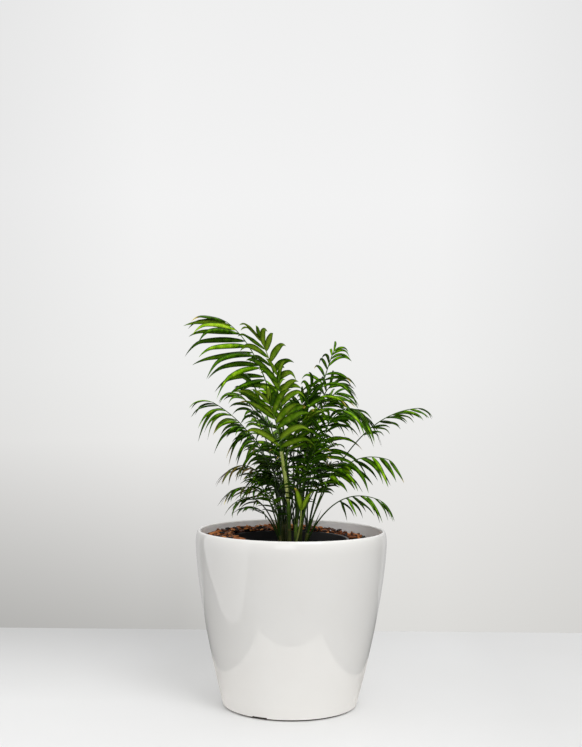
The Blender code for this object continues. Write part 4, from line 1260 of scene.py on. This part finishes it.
def addCane(plant, palm, draw):
    # one tube with a narrow raised ring at each leaf scar
    p = palmSettings
    bottom, length = caneAxis(palm, 0.0), caneAxis(palm, 1.0).z - p["soilTop"]
    count = max(int(length / p["caneStep"]), 8)
    points = [bottom - up * p["soilDepth"]]
    points += [caneAxis(palm, step / count) for step in range(count + 1)]
    firstScar, scarWidth, scarRise = p["scar"]
    scars, height = [], p["soilTop"] + firstScar
    while height < palm["top"][2] * mm:
        scars.append(height)
        height += draw.uniform(*p["internode"]) * mm
    heights = np.array([point.z for point in points])
    ring = sum(np.exp(-((heights - scar) / scarWidth) ** 2) for scar in scars)
    rise = np.clip((heights - bottom.z) / length, 0, 1)
    sides = p["caneSides"]
    stout = 0.9 + 0.3 * palm["cane"]  # a pale cane is a little thicker
    radii = between(p["caneRadius"], rise) * stout + scarRise * ring
    corners, faces, uvs = tubeAlong(points, radii, sides, sideways)
    oldFoot = np.clip(1 - rise * 4, 0, 1) * 0.5  # half brown at the soil, green a quarter of the way up
    age = np.repeat(np.clip(ring * 0.8 + oldFoot, 0, 1), sides)
    tone = palm["cane"] * 0.8 * np.repeat(caneFreshness(rise), sides)
    plant.add(corners, faces, plant.caneSlot, uvs, tone, age, 0.0)


def addSheath(plant, palm, leaf, draw):
    # the stalk's foot wraps the cane as a thin sleeve, drawn in at its upper end
    p = palmSettings
    end = caneShare(palm, leaf["start"] + p["sheathEnd"])
    length = draw.uniform(*p["sheathLength"]) * mm
    begin = caneShare(palm, max(leaf["start"] - length, p["soilTop"] + 2 * mm))
    count, sides = p["sheathRings"], p["caneSides"]
    shares, rise = np.linspace(begin, end, count), np.linspace(0, 1, count)
    points = [caneAxis(palm, share) for share in shares]
    thin, gain = p["sleeve"]
    sleeve = np.where(rise > 0.93, -0.8 * mm, thin + gain * rise)  # its end sinks into the cane
    corners, faces, uvs = tubeAlong(points, between(p["caneRadius"], shares) + sleeve, sides, sideways)
    dry = np.clip((rise - 0.75) * 1.6, 0, 0.4)  # the last quarter browns
    age = np.repeat(dry + (1 - palm["cane"]) * 0.15, sides)
    fresh = np.repeat(caneFreshness(shares), sides)
    tone = 0.12 + 0.68 * palm["cane"] * fresh + 0.1 * leaf["tone"]
    plant.add(corners, faces, plant.stalkSlot, uvs, tone, age, 0.0)


def addStalk(plant, stalk, leaf):
    # thickest at the cane, with a channel along its upper side; a bare spear runs to a point
    p = palmSettings
    sides = p["stalkSides"]
    shares = np.linspace(0, 1, p["stalkSteps"] + 1)
    points = [stalk.place(share) for share in shares]
    upper = np.array([stalk.directions(share)[1] for share in shares])
    flare, flareReach = p["stalkFlare"]
    radii = between(p["stalkRadius"], shares ** 0.8) + flare * np.exp(-shares / flareReach)
    if not leaf["pairs"]:
        radii = radii * np.clip((1.02 - shares) * 3, 0.08, 1)  # its last third tapers
    corners, faces, uvs = tubeAlong(points, radii, sides, upper, p["channel"])
    # the stalk's tone follows its frond's, which is partly painted shade, and pales towards its tip
    tone = np.repeat(0.10 + leaf["tone"] * 0.55 + 0.15 * shares, sides)
    plant.add(corners, faces, plant.stalkSlot, uvs, tone, leaf["age"] * 0.6, 0.0)


def roughTube(placeAt, steps, radii):
    # a coarse stand-in for a cane or a stalk, which leaflets keep clear of
    points = [placeAt(step / steps) for step in range(steps + 1)]
    return tubeAlong(points, np.linspace(*radii, steps + 1), 6, np.array((0.4, -0.3, 0.2)))[:2]


def growLeaflets(plant, leaf, stalk, draw, neighbours):
    # each leaflet swings clear of every other frond and cane, or is left out
    grown, tried = [], 0
    grid = plainGrid if leaf["width"] < palmSettings["plainBelow"] else fineGrid
    roomFaces = coarseGrid[2]
    for side, place in leafletPlaces(leaf["pairs"]):
        blade = Leaflet(leaf, stalk, side, place, draw)
        tried += 1
        for swing in swings:
            room = blade.corners(coarseGrid, swing, palmSettings["clearance"])[0]
            if BVHTree.FromPolygons(room.tolist(), roomFaces).overlap(neighbours):
                continue
            corners, shares, sides, lower = blade.corners(grid, swing, 0.0)
            uvs = np.stack([sides / 2 + 0.5, shares], axis=1)
            age = np.clip(blade.age + blade.yellowTip * np.clip((shares - 0.72) * 5, 0, 1), 0, 1)
            plant.add(corners, grid[2], plant.bladeSlot, uvs, blade.tone, age, lower)
            grown.append((blade.corners(coarseGrid, swing, 0.0)[0], roomFaces))
            break
    return grown, tried


def innerFronds(name, palm):
    inner = palmSettings["inner"]
    draw = random.Random(f"{palmSettings['seed']} inner {name}")
    angle = draw.uniform(0, math.tau)
    for number in range(inner["number"]):
        angle += math.radians(draw.uniform(*inner["turn"]))
        reach, height = draw.uniform(*inner["reach"]), draw.uniform(*inner["height"])
        ahead, foot = Vector((*around(1, angle), 0)), Vector((*palm["foot"], 0))
        start = draw.uniform(inner["lowestStart"], palm["top"][2] - inner["belowTop"])
        bend = foot + ahead * reach * 0.5 + up * (height - draw.uniform(*inner["bendBelow"]))
        tip = foot + ahead * reach + up * height
        length, width = draw.uniform(*inner["length"]), draw.uniform(*inner["width"])
        droop, lift = draw.uniform(*inner["droop"]), draw.uniform(*inner["lift"])
        yield frond(start, bend, tip, inner["blade"], inner["pairs"], length, width, droop, lift,
                    inner["spread"], tone=draw.uniform(*inner["tone"]))


def makePalms():
    p = palmSettings
    materials = [leafBlade()] + [streakedSkin(name) for name in skinSettings]
    lines, stalks = {}, {}
    for name, palm in palms.items():
        palm["fronds"] += innerFronds(name, palm)
        lines[name, "cane"] = roughTube(lambda share: caneAxis(palm, share), 12, p["caneRadius"])
        for number, leaf in enumerate(palm["fronds"]):
            stalks[name, number] = Stalk(palm, leaf)
            lines[name, number] = roughTube(stalks[name, number].place, 16, p["stalkRadius"])
    blades, triedCount = [], 0
    for name, palm in palms.items():
        plant = PlantMesh()
        draw = random.Random(f"{p['seed']} {name}")
        addCane(plant, palm, draw)
        for number, leaf in enumerate(palm["fronds"]):
            addSheath(plant, palm, leaf, draw)
            addStalk(plant, stalks[name, number], leaf)
            others = [line for key, line in lines.items() if key != (name, number)]
            neighbours = BVHTree.FromPolygons(*joined(others + blades))
            leafDraw = random.Random(f"{p['seed']} {name} {number}")
            grown, tried = growLeaflets(plant, leaf, stalks[name, number], leafDraw, neighbours)
            blades += grown
            triedCount += tried
        finishPiece(plant.build(name + "_plant", materials), name)
    print("palms done,", len(blades), "of", triedCount, "leaflets")


makeCamera()
makeStudio()
makePlanter()
makeNurseryPot()
makeBark()
makeSoil()
makePalms()
